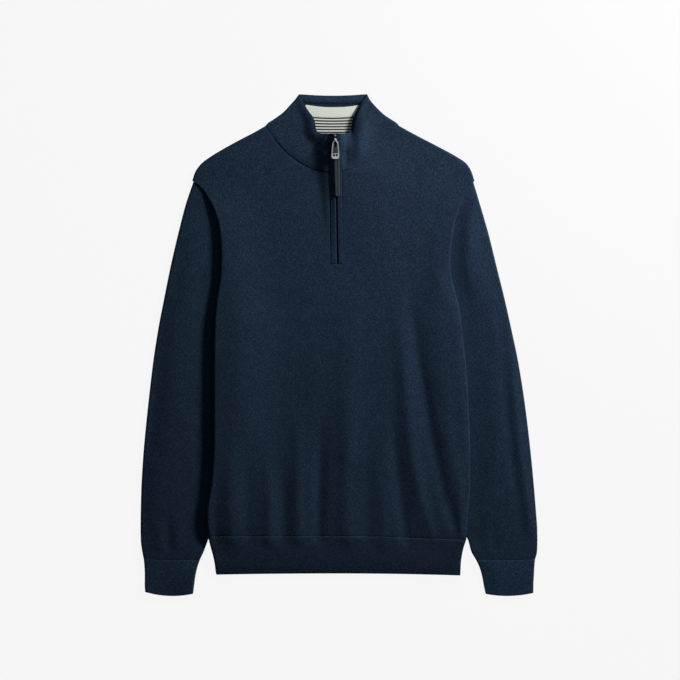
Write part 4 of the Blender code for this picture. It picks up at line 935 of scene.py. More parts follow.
def run_tree():
    """Geometry nodes that set one small piece again and again along a line."""
    tree = bpy.data.node_groups.new(RUN, "GeometryNodeTree")
    tree.interface.new_socket("Geometry", in_out="INPUT", socket_type="NodeSocketGeometry")
    for name, kind in (("Piece", "Object"), ("Pitch", "Float"), ("Uneven", "Float"), ("Seed", "Int"),
                       ("Finish", "Material")):
        tree.interface.new_socket(name, in_out="INPUT", socket_type="NodeSocket" + kind)
    tree.interface.new_socket("Geometry", in_out="OUTPUT", socket_type="NodeSocketGeometry")
    given = tree.nodes.new("NodeGroupInput").outputs
    path = add_node(tree, "GeometryNodeMeshToCurve", given["Geometry"]).outputs[0]
    spaced = add_node(tree, "GeometryNodeResampleCurve", mode="LENGTH")
    wire(tree, spaced, Curve=path, Length=given["Pitch"])
    piece = add_node(tree, "GeometryNodeObjectInfo", given["Piece"])
    turn = add_node(tree, "FunctionNodeAlignRotationToVector", axis="X")
    wire(tree, turn, Vector=tree.nodes.new("GeometryNodeInputTangent").outputs[0])
    size = add_node(tree, "FunctionNodeRandomValue", data_type="FLOAT")
    feed(tree, size.inputs[2], maths(tree, "SUBTRACT", 1.0, given["Uneven"]))
    feed(tree, size.inputs[3], maths(tree, "ADD", 1.0, given["Uneven"]))
    wire(tree, size, Seed=given["Seed"])
    put = tree.nodes.new("GeometryNodeInstanceOnPoints")
    wire(tree, put, Points=spaced.outputs[0], Instance=piece.outputs["Geometry"],
         Rotation=turn.outputs[0], Scale=size.outputs[1])
    real = add_node(tree, "GeometryNodeRealizeInstances", put.outputs[0])
    done = add_node(tree, "GeometryNodeSetMaterial", real.outputs[0])
    wire(tree, done, Material=given["Finish"])
    add_node(tree, "NodeGroupOutput", done.outputs[0])
    return tree


def run_of(name, paths, shape, pitch, finish, uneven=0.0, seed=1):
    """A small shape set along lines, as one mesh."""
    tree = bpy.data.node_groups.get(RUN) or run_tree()
    points, edges = [], []
    for path in paths:
        first = len(points)
        points += (np.asarray(path) * MM).tolist()
        edges += [(first + i, first + i + 1) for i in range(len(path) - 1)]
    mesh = bpy.data.meshes.new(name)
    mesh.from_pydata(points, edges, [])
    piece = link(name, mesh)
    made = piece.modifiers.new("run", "NODES")
    made.node_group = tree
    values = {"Piece": shape, "Pitch": pitch * MM, "Uneven": uneven, "Seed": seed, "Finish": finish}
    for item in tree.interface.items_tree:
        if item.in_out == "INPUT" and item.name in values:
            made[item.identifier] = values[item.name]
    freeze(piece)
    piece.data.shade_smooth()
    bpy.data.objects.remove(shape)
    return piece


def loose(name, work):
    """A mesh that was made in work, as an object that isn't in the scene."""
    mesh = bpy.data.meshes.new(name)
    work.to_mesh(mesh)
    work.free()
    return bpy.data.objects.new(name, mesh)


def stitch_shape(long, thick):
    """One stitch: a short rounded length of thread along X."""
    work = bmesh.new()
    rings = []
    for t in (0.0, 0.25, 0.5, 0.75, 1.0):
        radius = thick / 2 * (0.45 + 0.55 * math.sin(math.pi * t)) * MM
        turns = (2 * math.pi * k / 6 for k in range(6))
        x = (t - 0.5) * long * MM
        rings.append([work.verts.new((x, radius * math.cos(a), radius * math.sin(a))) for a in turns])
    for low, high in zip(rings, rings[1:]):
        for k in range(6):
            following = (k + 1) % 6
            work.faces.new((low[following], high[following], high[k], low[k]))
    work.faces.new(rings[0])
    work.faces.new(rings[-1][::-1])
    bmesh.ops.recalc_face_normals(work, faces=work.faces)
    return loose("stitch", work)


def tooth_shape(out):
    """One zip tooth: a rounded block that reaches over the zip's middle from its own side."""
    work = bmesh.new()
    bmesh.ops.create_cube(work, size=1.0)
    for vertex in work.verts:
        x, y, z = vertex.co
        narrow = 0.75 if y * out < 0 else 1.0
        vertex.co = Vector((x * 0.85 * narrow, y * 2.3 + out * 0.45, z * 1.1 * narrow)) * MM
    bmesh.ops.bevel(work, geom=work.edges[:], offset=0.22 * MM, segments=2, affect="EDGES")
    return loose("tooth", work)


# ---------------------------------------------------------------------- the body's grids

HALF = 190.0
NECK_SHARE = 0.55
EDGE_STEPS = np.array([0.0, 0.1, 0.35, 0.8, 1.4, 2.1, EDGE])
COLUMNS = np.concatenate([EDGE_STEPS / HALF, np.linspace(0.029, NECK_SHARE, 38),
                          np.linspace(NECK_SHARE, 1.0, 34)[1:]])
LOW_ROWS = np.linspace(-297.6, ZIP_FOOT[1], 150)
HIGH_ROWS = np.linspace(0.0, 1.0, 66)
MIDDLE_STEPS = np.linspace(0.0, 1.0, 9)[1:-1]
NEAR = int(np.sum(COLUMNS < NECK_SHARE - 1e-6))     # columns that end on the shoulder


def half_top(side, neck):
    """Top of half a panel, a point for each column: the shoulder's fold, then the neckline."""
    shoulder = along(outline(SHOULDER, side), COLUMNS[:NEAR] / NECK_SHARE)
    return np.concatenate([shoulder, along(neck, (COLUMNS[NEAR:] - NECK_SHARE) / (1.0 - NECK_SHARE))])


def front_edge(side, y):
    """The front panel's edge at the heights y."""
    return read(BODY, side, y)


def back_edge(side, y):
    """The back panel's edge at the heights y."""
    return np.where(y < BACK_EDGE["y"][0], read(BODY, side, y), read(BACK_EDGE, side, y))


def run_length(points):
    """Length of a polyline."""
    return np.sum(np.linalg.norm(np.diff(points, axis=0), axis=1))


def shoulder_row(top, side_edge, step):
    """The top of half a panel moved into the panel by a step, squarely along the shoulder."""
    row = top - np.array([0.0, step])
    run = np.gradient(top, axis=0)[:NEAR]
    inside = np.stack([run[:, 1], -run[:, 0]], axis=-1) * np.sign(run[:, :1])
    row[:NEAR] = top[:NEAR] + inside / np.linalg.norm(inside, axis=-1, keepdims=True) * step
    row[0] = along(side_edge, [1.0 - step / run_length(side_edge)])[0]
    return row


def half_panel(side, edge, neck, middle):
    """Plan grid of one half of a panel above the zip's foot, its columns running inward."""
    y = np.linspace(ZIP_FOOT[1], BODY["y"][-1], 400)
    full = np.stack([edge(side, y), y], axis=-1)
    rows = [shoulder_row(half_top(side, neck), full, step) for step in EDGE_STEPS[::-1]]
    side_edge = along(full, HIGH_ROWS * (1.0 - EDGE / run_length(full)))
    bottom = line(side_edge[0], (middle(ZIP_FOOT[1]), ZIP_FOOT[1]))
    inner = along(line(bottom[-1], rows[0][-1]), HIGH_ROWS)
    grid = blend(along(bottom, COLUMNS), rows[0], side_edge, inner, COLUMNS, HIGH_ROWS)
    return np.concatenate([grid, np.array(rows[1:])])


def lower_rows(edge, middle):
    """Plan grid of a panel from the hem's seam up to the zip's foot, across its whole width."""
    lines = []
    for row in LOW_ROWS:
        share = (row - LOW_ROWS[0]) / (LOW_ROWS[-1] - LOW_ROWS[0])
        halves = []
        for side in ("left", "right"):
            x = lerp(edge(side, row), middle[side](row), COLUMNS)
            y = lerp(seam_y(x) + SEAM / 2, LOW_ROWS[-1], share)
            halves.append(np.stack([lerp(edge(side, y), middle[side](y), COLUMNS), y], axis=-1))
        lines.append(np.concatenate([halves[0], halves[1][::-1]]))
    return np.array(lines)


def panel_plan(edge, neck, middle):
    """Plan grid of a whole panel, its two halves side by side.

    edge gives its side edges, neck its neckline and middle the inner edge of each half.
    """
    left, right = (half_panel(side, edge, neck(side), middle[side]) for side in ("left", "right"))
    upper = np.concatenate([left, right[:, ::-1]], axis=1)
    return np.concatenate([lower_rows(edge, middle), upper[1:]])


def front_grid():
    """Outer points of the front panel, and the quads that its slit leaves out."""
    plan = panel_plan(front_edge, neckline, SLIT)
    left, right = plan[:, :len(COLUMNS)], plan[:, len(COLUMNS):]
    between = lerp(left[:, -1:], right[:, :1], MIDDLE_STEPS[None, :, None])
    plan = np.concatenate([left, between, right], axis=1)
    grid = with_height(plan, body_top)
    gap = off_neckline(plan[..., 0], plan[..., 1])
    grid[..., 2] -= bump(gap, 0.0, 1.8, 0.35) * ease((plan[..., 1] - 240.0) / 20.0)
    skip = np.zeros((plan.shape[0] - 1, plan.shape[1] - 1), bool)
    first = len(COLUMNS) - 1
    skip[len(LOW_ROWS) - 1:, first:first + len(MIDDLE_STEPS) + 1] = True
    return grid, skip


def back_neck(side):
    """Back neckline from the shoulder to the middle of the neck."""
    start = SHOULDER[side][-1]
    x = np.linspace(start, NECK_MID, 200)
    share = (x - NECK_MID) / (start - NECK_MID)
    return np.stack([x, NECK_BACK + NECK_STEP * share**4], axis=-1)


def back_grid():
    """Outer points of the back panel, which face the floor."""
    def middle(y):
        return np.full(np.shape(y), NECK_MID)

    plan = panel_plan(back_edge, back_neck, {"left": middle, "right": middle})
    return with_height(np.delete(plan, len(COLUMNS), axis=1), body_under)


def hem_grid():
    """Outer points of the hem's ring, from its lower edge up to its seam."""
    share = np.concatenate([COLUMNS * 0.5, 1.0 - COLUMNS[::-1][1:] * 0.5])
    under = share[::-1][1:-1]
    grid = []
    for drop in np.linspace(1.0, 0.0, 24):
        ring = []
        for part, height in ((share, body_top), (under, body_under)):
            y = lerp(LOW_ROWS[0], -355.6, drop)
            for _ in range(2):
                x = lerp(read(BODY, "left", y), read(BODY, "right", y), part)
                y = lerp(seam_y(x) - SEAM / 2, hem_y(x), drop)
            ring.append(with_height(np.stack([x, y], axis=-1), height))
        grid.append(np.concatenate(ring))
    return np.array(grid)


# ---------------------------------------------------------------------- sleeves and cuffs

FOLD_STEPS = np.array([0.0, 0.12, 0.4, 0.85, 1.5])
ACROSS = np.linspace(0.02, 0.98, 44)
SLEEVE_RINGS = 150
CUFF_RINGS = 22
TUBE_MIDDLE = 28        # the column in the middle of a tube's top


def tube_shares(length, edge, outer_sine, inner_sine):
    """Columns across a tube, close together on its two folds, and how deep in from a fold each is."""
    start = np.append(FOLD_STEPS, edge) / (length * outer_sine)
    end = np.append(FOLD_STEPS, edge) / (length * inner_sine)
    middle = lerp(start[-1], 1.0 - end[-1], ACROSS)
    depth = np.concatenate([FOLD_STEPS, [edge], np.full(len(middle), length), [edge], FOLD_STEPS[::-1]])
    return np.concatenate([start, middle, 1.0 - end[::-1]]), depth


def tube_ring(plan, crown, depth, edge, floor=0.0):
    """One ring of a flattened tube: over its top, and back underneath."""
    fold = rounded(depth, edge, crown / 2)
    over = np.column_stack([plan, crown - fold])
    under = np.column_stack([plan, fold + floor])
    return np.concatenate([over, under[1:-1][::-1]])


def sleeve_crown(x, y, side, distance, inner_distance):
    """Top of a sleeve: full where it lies free, low at its outer fold and under the body."""
    edge = read(BODY, side, y)
    outside = (edge - x) if side == "left" else (x - edge)
    pressed = 1.0 - ease((outside - 3.0) / lerp(*SLEEVE_RAMP[side], ease((y - 40.0) / 80.0)))
    puff = lerp(SLEEVE_PUFF[side], SHOULDER_TOP, ease((y - 190.0) / 55.0))
    puff = lerp(puff, CUFF_TOP, ease((-230.0 - y) / 100.0))
    fold = SLEEVE_EDGE + (puff - SLEEVE_EDGE) * ease(distance / 26.0)
    seam = lerp(TUCKED, SHOULDER_TOP - 1.3, ease((y - 185.0) / 65.0))
    free = np.where(y < -297.0, lerp(CUFF_TOP, puff, ease(inner_distance / 22.0)), fold)
    below = ease((-301.0 - y) / 25.0)
    crown = lerp(np.minimum(fold, free), seam, pressed * (1.0 - below))
    soft = ease(distance / 8.0) * (1.0 - 0.85 * pressed) * ease((y + 338.0) / 12.0)
    soft *= ease(inner_distance / 10.0)
    return crown + (folds_at(SLEEVE_FOLDS, x, y) + cockle(x, y)) * soft


def turn_sine(across, step):
    """Sine of the angle between a section and the fold that it ends on, not below a third."""
    run = math.hypot(*step)
    if run < 1e-6:
        return 1.0
    return max(0.33, abs(across[0] * step[1] - across[1] * step[0]) / run)


def drawn(source, at):
    """A table's columns as soft curves, read at places that count its rows."""
    index = np.arange(len(source["outer_x"]), dtype=float)
    return {key: smooth(index, column, at) for key, column in source.items()}


def ends(source, i):
    """The outer and inner end of one of a table's sections."""
    return [np.array([source[end + "_x"][i], source[end + "_y"][i]]) for end in ("outer", "inner")]


def sleeve_grid(side, source):
    """Rings of a sleeve, from the cuff's seam to the armhole."""
    last = len(source["outer_x"]) - 1.0
    at = np.linspace(0.0, last, SLEEVE_RINGS)
    row, ahead, behind = (drawn(source, place) for place in (at, at + 0.05, at - 0.05))
    step = {key: ahead[key] - behind[key] for key in source}
    seam = armhole_seam(side)
    top, foot = ends(source, -1)
    edge = SLEEVE_EDGE / 2
    grid = []
    for i, place in enumerate(at):
        outer, inner = ends(row, i)
        length = np.linalg.norm(inner - outer)
        sines = [turn_sine((inner - outer) / length, fold) for fold in ends(step, i)]
        shares, depth = tube_shares(length, edge, *sines)
        bend = along(seam, shares) - lerp(top, foot, shares[:, None])
        bent = max(0.0, (place - (last - 6.0)) / 6.0)
        plan = lerp(outer[None], inner[None], shares[:, None]) + bend * bent
        distance = shares * length * sines[0]
        inside = (1.0 - shares) * length
        crown = sleeve_crown(plan[:, 0], plan[:, 1], side, distance, inside)
        soft = ease(distance / 12.0) * ease(inside / 12.0)
        floor = folds_at(SLEEVE_UNDER_FOLDS, plan[:, 0], plan[:, 1]) * soft
        grid.append(tube_ring(plan, crown, depth, edge, floor))
    return np.array(grid)


def cuff_grid(side, source):
    """Rings of a cuff, from its end up to the seam."""
    last = len(source["outer_x"]) - 1.0
    at = np.linspace(last, 0.0, CUFF_RINGS)
    row = drawn(source, at)
    gained, start, run = CUFF_LEAN[side]
    edge = CUFF_TOP / 2
    grid = []
    for i, place in enumerate(at):
        outer, inner = ends(row, i)
        shares, depth = tube_shares(np.linalg.norm(inner - outer), edge, 1.0, 1.0)
        plan = lerp(outer[None], inner[None], shares[:, None])
        plan[:, 1] -= 4.0 * row["bow"][i] * shares * (1.0 - shares)
        far = (last - place) / last
        soft = np.sin(np.pi * shares)
        crown = CUFF_TOP - 0.7 * ease((0.45 - far) / 0.45) * soft
        crown += gained * ease((shares - start) / run) * ease((1.0 - far) / 0.4)
        x, y = plan.T
        relief = (folds_at(SLEEVE_FOLDS, x, y) * 0.5 + cockle(x, y, 0.7)) * soft
        seam = bump((1.0 - far) * CUFF_LENGTH, 0.0, SEAM_GROOVE, 0.4)
        grid.append(tube_ring(plan, crown + relief - seam, depth, edge))
    return np.array(grid)


# ---------------------------------------------------------------------- collar

COLLAR_COLUMNS = np.concatenate([[0.0, 0.003, 0.008, 0.016, 0.028], np.linspace(0.045, 1.0, 52)])
COLLAR_BACK_COLUMNS = np.concatenate([[0.0, 0.002, 0.006, 0.012, 0.019], np.linspace(0.03, 0.97, 52),
                                      [0.981, 0.988, 0.994, 0.998, 1.0]])
COLLAR_ROWS = np.linspace(0.0, 1.0, 38)


def with_z(plan, z):
    """Plan points with a height for each."""
    return np.column_stack([plan, np.broadcast_to(z, len(plan))])


def toward_neck(points):
    """The same points, moved off the panel's seam toward the middle of the neck."""
    away = np.array([NECK_MID, 400.0]) - points
    return points + away / np.linalg.norm(away, axis=-1, keepdims=True) * NECK_GAP


def near_rim(grid, rim):
    """Distance from each point of a grid to a curve, and the curve's height there."""
    gaps = np.linalg.norm(grid[:, :, None, :2] - rim[None, None, :, :2], axis=-1)
    return np.min(gaps, axis=-1), rim[:, 2][np.argmin(gaps, axis=-1)]


def collar_front(side):
    """Front of the collar on one side, columns from the side fold to the zip."""
    seam = toward_neck(neckline(side))
    seam = with_z(seam, body_crown(seam[:, 0], seam[:, 1]))
    edge = fine(np.stack([COLLAR_EDGE[side + axis] for axis in ("", "_y", "_z")], axis=-1))
    fold = outline(COLLAR_SIDE, side)
    fold[0] = seam[0, :2]
    fold = with_z(fold, np.linspace(SHOULDER_TOP, COLLAR_FOLD, len(fold)))
    y = np.linspace(seam[-1, 1], ZIP_HEAD[1], 60)
    by_zip = np.column_stack([SLIT[side](y), y, ridge_left(y) if side == "left" else zip_surface(y)])
    grid = patch(seam, edge, fold, by_zip, COLLAR_COLUMNS, COLLAR_ROWS)
    away = np.linalg.norm(grid[..., :2] - grid[:, :1, :2], axis=-1)
    off_seam = off_neckline(grid[..., 0], grid[..., 1])
    sewn = ease(off_seam / COLLAR_SEWN[side])
    if side == "left":
        flat = lerp(grid[:, :1, 2], COLLAR_FLAT, ease(away / COLLAR_SETTLE))
        gap, high = near_rim(grid, np.concatenate([edge, by_zip[::-1]]))
        raised_rim = flat + flank(gap, np.maximum(high - flat, 0.0), COLLAR_FLANK)
        grid[..., 2] = lerp(grid[..., 2], raised_rim, sewn)
    else:
        gap, _ = near_rim(grid, edge[:180])
        beside = grid[..., 0] - slit_right(grid[..., 1])
        puffed = bump(gap, *PUFF_RIM) + bump(beside, *DIP_ZIP) + bump(beside, *PUFF_ZIP)
        grid[..., 2] += puffed * sewn * ease(gap / 5.0) * ease(beside / 5.0)
    grid[..., 2] -= rounded(away, EDGE, np.linspace(SHOULDER_TOP, COLLAR_FOLD, len(grid))[:, None] / 2)
    roll = 0.45 * ease(off_seam / 4.0) * ease((26.0 - off_seam) / 20.0) - bump(off_seam, 0.0, 1.0, 0.3)
    grid[..., 2] += roll * ease(away / 32.0)
    return grid


def collar_back(columns, rows):
    """Back of the collar, columns from the left fold to the right one, facing the floor."""
    halves = [toward_neck(back_neck(side)) for side in ("left", "right")]
    seam = np.concatenate([halves[0], halves[1][::-1][1:]])
    x = np.linspace(COLLAR_SIDE["left"][-1], COLLAR_SIDE["right"][-1], 60)
    share = (x - x[0]) / (x[-1] - x[0])
    edge = np.column_stack([x, COLLAR_SIDE["y"][-1] - 4.0 * COLLAR_TOP_SAG * share * (1.0 - share)])
    left, right = outline(COLLAR_SIDE, "left"), outline(COLLAR_SIDE, "right")
    left[0], right[0] = seam[0], seam[-1]
    plan = patch(seam, edge, left, right, columns, rows)
    near = np.linalg.norm(plan - plan[:, :1], axis=-1)
    far = np.linalg.norm(plan - plan[:, -1:], axis=-1)
    top = np.asarray(rows)[:, None]
    z = rounded(np.minimum(near, far), EDGE, lerp(SHOULDER_TOP, COLLAR_FOLD, top) / 2)
    off_folds = ease((np.minimum(near, 1.5 * far) - 2.0) / 12.0)
    z += COLLAR_ROLL * ease((top - 0.8) / 0.07) * ease((1.0 - top) / 0.13) * off_folds
    return np.concatenate([plan, z[..., None]], axis=-1)


def collar_grid():
    """Outer points of the collar: left front, back, right front."""
    left, right = collar_front("left"), collar_front("right")
    back = collar_back(COLLAR_BACK_COLUMNS, COLLAR_ROWS)
    return np.concatenate([left[:, ::-1], back[:, 1:-1], right], axis=1)


def band_sag(x, up):
    """How far the bands hang in the middle of the neck, more toward the collar's top."""
    return lerp(0.5, 3.0, up) * (1.0 - ((x - NECK_MID) / BAND_HALF) ** 2)


def band_grid(low, high):
    """Inner face of the collar's back between two shares of its height."""
    across = np.concatenate([[0.0], np.linspace(0.17, 0.83, 60), [1.0]])
    up = np.concatenate([[0.0], np.linspace(low, high, 12), [1.0]])
    grid = collar_back(across, up)[1:-1, 1:-1]
    grid[..., 1] -= band_sag(grid[..., 0], up[1:-1, None])
    grid[..., 2] = COLLAR + 0.05 + TAPE
    return grid


# ---------------------------------------------------------------------- zip


def strip_grid(left, right, y, top, drop=0.5, level=WELT_LEVEL, fall=1.0):
    """A strip along the zip between two distances from its middle, its long edges rounded."""
    across = np.linspace(left, right, 15)
    y = y[:, None]
    fold = rounded(np.minimum(across - left, right - across), 0.8, drop)
    z = zip_surface(y) + top - fold - fall * welt_fall(across, y, level)
    return grid_of(zip_x(y) + across, y, z)


def hinge_place():
    """The puller's axis: its place over the zip, and the slope of the zip there."""
    slope = math.atan(float(zip_surface(HINGE_Y + 3.0) - zip_surface(HINGE_Y - 3.0)) / 6.0)
    lift = WELT_PROUD + PLATE_CLEAR + PLATE[2] + AXIS_LIFT
    return (float(zip_x(HINGE_Y)), HINGE_Y, float(zip_surface(HINGE_Y)) + lift / math.cos(slope)), slope


def settle(piece, spot, tilt):
    """Set a piece made round the hinge in its place, in its own mesh."""
    place = Matrix.Translation([value * MM for value in spot]) @ Matrix.Rotation(tilt, 4, "X")
    piece.data.transform(place)
    piece.data.update()
    return piece


def rounded_outline(corners, radius):
    """A polygon with each corner cut by a short arc; radius is one number, or one for each corner."""
    radius = np.broadcast_to(radius, len(corners))
    points = []
    for i, corner in enumerate(corners):
        here = np.array(corner, float)
        before = np.array(corners[i - 1], float) - here
        after = np.array(corners[(i + 1) % len(corners)], float) - here
        first = here + before / np.linalg.norm(before) * radius[i]
        last = here + after / np.linalg.norm(after) * radius[i]
        for t in np.linspace(0.0, 1.0, 7):
            points.append(tuple((1 - t) ** 2 * first + 2 * t * (1 - t) * here + t * t * last))
    return points


def mirrored(*half):
    """An outline from the corners of its +X half, each x, y and the radius of its arc."""
    corners = [*half, *((-x, y, radius) for x, y, radius in half[::-1])]
    return rounded_outline([corner[:2] for corner in corners], [corner[2] for corner in corners])


def plate(name, shapes, thick, round_edge, finish, height=0.0):
    """A flat plate with holes and rounded edges, from outlines in its own plane."""
    flat = bpy.data.curves.new(name, "CURVE")
    flat.dimensions = "2D"
    flat.fill_mode = "BOTH"
    flat.extrude = thick / 2 * MM
    for shape in shapes:
        spline = flat.splines.new("POLY")
        spline.points.add(len(shape) - 1)
        for point, (x, y) in zip(spline.points, shape):
            point.co = (x * MM, y * MM, 0.0, 1.0)
        spline.use_cyclic_u = True
    outlines = link(name, flat)
    mesh = seen_mesh(outlines)
    bpy.data.objects.remove(outlines)
    mesh.name = name
    mesh.materials.clear()
    mesh.materials.append(finish)
    mesh.transform(Matrix.Translation((0.0, 0.0, height * MM)))
    piece = link(name, mesh)
    piece.modifiers.new("weld", "WELD").merge_threshold = 0.00001
    return soften(piece, round_edge, segments=3, angle=50.0)


def join(name, pieces):
    """Several pieces as one mesh."""
    for other in bpy.context.view_layer.objects:
        other.select_set(other in pieces)
    bpy.context.view_layer.objects.active = pieces[0]
    bpy.ops.object.join()
    pieces[0].name = name
    pieces[0].data.name = name
    return pieces[0]


# ---------------------------------------------------------------------- settings

COLOUR = {"subtype": "COLOR", "size": 3, "min": 0.0, "max": 1.0}
SHARE = {"subtype": "FACTOR", "min": 0.0, "max": 1.0}


class KnitLook(bpy.types.PropertyGroup):
    """Yarn and gauge of the sweater's knit."""
    colour: FloatVectorProperty(name="Yarn", description="Main colour of the yarn",
                                default=(0.0109, 0.0222, 0.0425), **COLOUR)
    fleck: FloatVectorProperty(name="Fleck", description="Colour of the paler fibres",
                               default=(0.0181, 0.0335, 0.0578), **COLOUR)
    heather: FloatProperty(name="Heather", description="How far light and dark fibres differ",
                           default=0.38, **SHARE)
    wale: FloatProperty(name="Wale", description="Width of one column of stitches",
                        default=0.0014, unit="LENGTH")
    course: FloatProperty(name="Course", description="Height of one row of stitches",
                          default=0.0011, unit="LENGTH")
    relief: FloatProperty(name="Relief", description="How strongly the stitches stand out",
                          default=0.42, **SHARE)
    nap: FloatProperty(name="Nap", description="Soft sheen of the fibres", default=0.02, **SHARE)


class TrimLook(bpy.types.PropertyGroup):
    """Bands inside the collar and the strap on the zip."""
    cream: FloatVectorProperty(name="Cream", description="Pale tape",
                               default=(0.585, 0.61, 0.535), **COLOUR)
    dark: FloatVectorProperty(name="Dark stripe", description="Stripes on the lower tape",
                              default=(0.004, 0.005, 0.008), **COLOUR)
    stripe: FloatProperty(name="Stripe pitch", description="From one dark stripe to the next",
                          default=0.00434, unit="LENGTH")
    strap: FloatVectorProperty(name="Strap", description="Pull strap",
                               default=(0.026, 0.035, 0.042), **COLOUR)
    strap_edge: FloatVectorProperty(name="Strap edge", description="Raw edges of the pull strap",
                                    default=(0.024, 0.031, 0.037), **COLOUR)


class ZipLook(bpy.types.PropertyGroup):
    """Zip teeth, slider and puller."""
    pitch: FloatProperty(name="Tooth pitch", description="From one tooth to the next on one side",
                         default=0.0021, unit="LENGTH")
    teeth: FloatVectorProperty(name="Teeth", description="Metal of the teeth",
                               default=(0.05, 0.05, 0.06), **COLOUR)
    metal: FloatVectorProperty(name="Slider metal", description="Metal of the slider and puller",
                               default=(0.80, 0.80, 0.82), **COLOUR)
    seed: IntProperty(name="Seed", description="Fixed seed for uneven stitches", default=7)


class StudioLook(bpy.types.PropertyGroup):
    """Floor, lights and camera."""
    floor: FloatVectorProperty(name="Floor", description="Colour of the floor",
                               default=(0.03, 0.03, 0.03), **COLOUR)
    glow: FloatProperty(name="Floor glow", description="Even light of the floor", default=0.9026)
    key: FloatProperty(name="Key light", description="Soft box at the upper right",
                       default=61.5, unit="POWER")
    fill: FloatProperty(name="Fill", description="Even light from all round", default=0.10)
    top: FloatProperty(name="Top light", description="Soft box above the collar",
                       default=0.6, unit="POWER")
    view_width: FloatProperty(name="View width", description="Width that the camera sees",
                              default=1.054, unit="LENGTH")
    lens: FloatProperty(name="Lens", description="Focal length in millimetres", default=200.0)


class SweaterSettings(bpy.types.PropertyGroup):
    """All that a user would change."""
    knit: PointerProperty(type=KnitLook)
    trim: PointerProperty(type=TrimLook)
    zip: PointerProperty(type=ZipLook)
    studio: PointerProperty(type=StudioLook)


def settings():
    """The scene's sweater settings."""
    return bpy.context.scene.sweater


def finish_of(name):
    """A material of the sweater, made the first time it is asked for."""
    made = "finish " + name
    ready = bpy.data.materials.get(made)
    if ready:
        return ready
    knit, trim, metal = settings().knit, settings().trim, settings().zip.metal
    shadow = scaled(trim.cream, 0.7)
    makers = {
        "knit": lambda: knit_material(made, knit),
        # the hem's rib is the same knit painted a little darker, as painted shade; the cuffs' rib is painted
        # lighter, as painted light
        "rib": lambda: knit_material(made, knit, rib=0.25, painted_light_scale=0.94),
        "cuff rib painted lighter": lambda: knit_material(made, knit, rib=0.25, painted_light_scale=1.26),
        "cream": lambda: woven_material(made, trim.cream, shadow),
        "stripes": lambda: woven_material(made, trim.cream, shadow, (trim.stripe, -0.0012, trim.dark)),
        "tape": lambda: woven_material(made, (0.012, 0.014, 0.022), (0.005, 0.006, 0.009)),
        "teeth": lambda: metal_material(made, settings().zip.teeth, 0.42),
        "metal": lambda: metal_material(made, metal, 0.42, 0.8),
        # the puller's web: its silver metal painted darker, as painted shade in its recess
        "metal painted in shade": lambda: metal_material(made, scaled(metal, 0.18), 0.42),
        "black metal": lambda: metal_material(made, scaled(metal, 0.06), 0.42),
        "strap": lambda: strap_material(made, trim.strap, trim.strap_edge, STRAP_WIDTH / 2 * MM),
        "thread": lambda: thread_material(made, scaled(knit.fleck, 0.85)),
    }
    return makers[name]()


# ---------------------------------------------------------------------- operators


class SWEATER_OT_front(bpy.types.Operator):
    """Front panel, one piece of knit that is slit for the zip"""
    bl_idname = "sweater.front"
    bl_label = "Front Panel"

    def execute(self, context):
        grid, skip = front_grid()
        sew("front", grid, KNIT, "knit", "navy_knit", "front_panel", ["back", "sleeve_r", "sleeve_l"],
            skip=skip)
        return {"FINISHED"}


class SWEATER_OT_back(bpy.types.Operator):
    """Back panel, which lies on the floor"""
    bl_idname = "sweater.back"
    bl_label = "Back Panel"

    def execute(self, context):
        sew("back", back_grid(), KNIT, "knit", "navy_knit", "back_panel", ["floor"], turned=True)
        return {"FINISHED"}


class SWEATER_OT_hem(bpy.types.Operator):
    """Hem band, a ring of fine rib"""
    bl_idname = "sweater.hem"
    bl_label = "Hem"

    def execute(self, context):
        # the hem's knit is painted a little darker, as painted shade
        sew("hem", hem_grid(), BAND, "rib", "navy_rib", "hem_band", ["floor"], closed=True)
        return {"FINISHED"}


class SWEATER_OT_sleeves(bpy.types.Operator):
    """Both sleeves, each one flattened tube"""
    bl_idname = "sweater.sleeves"
    bl_label = "Sleeves"

    def execute(self, context):
        for name, node, side, source in (("sleeve_r", "sleeve_right", "left", SLEEVE_RIGHT),
                                         ("sleeve_l", "sleeve_left", "right", SLEEVE_LEFT)):
            piece = sew(name, sleeve_grid(side, source), KNIT, "knit", "navy_knit", node, ["floor"],
                        closed=True, turned=side == "right", centre=TUBE_MIDDLE)
            for vertex in piece.data.vertices:      # the wall lies above the floor where the rings turn
                vertex.co.z = abs(vertex.co.z)
        return {"FINISHED"}


class SWEATER_OT_cuffs(bpy.types.Operator):
    """Both cuffs, short tubes of fine rib"""
    bl_idname = "sweater.cuffs"
    bl_label = "Cuffs"

    def execute(self, context):
        for name, node, side, source in (("cuff_r", "cuff_right", "left", CUFF_RIGHT),
                                         ("cuff_l", "cuff_left", "right", CUFF_LEFT)):
            # the cuffs' knit is painted lighter, as painted light
            sew(name, cuff_grid(side, source), BAND, "cuff rib painted lighter", "navy_rib", node, ["floor"],
                closed=True, turned=side == "right", centre=TUBE_MIDDLE)
        return {"FINISHED"}


class SWEATER_OT_collar(bpy.types.Operator):
    """Stand collar, open at the zip"""
    bl_idname = "sweater.collar"
    bl_label = "Collar"

    def execute(self, context):
        sew("stand_collar", collar_grid(), COLLAR, "knit", "navy_knit", "collar", ["floor"], turned=True)
        return {"FINISHED"}


class SWEATER_OT_bands(bpy.types.Operator):
    """Cream and striped bands inside the back of the collar"""
    bl_idname = "sweater.bands"
    bl_label = "Collar Bands"

    def execute(self, context):
        for name, node, low, high, finish, slot in (
                ("striped_band", "collar_stripes", 0.02, 0.524, "stripes", "striped_tape"),
                ("cream_band", "collar_cream", 0.525, 0.777, "cream", "cream_tape")):
            sew(name, band_grid(low, high), TAPE, finish, slot, node, ["stand_collar"])
        return {"FINISHED"}


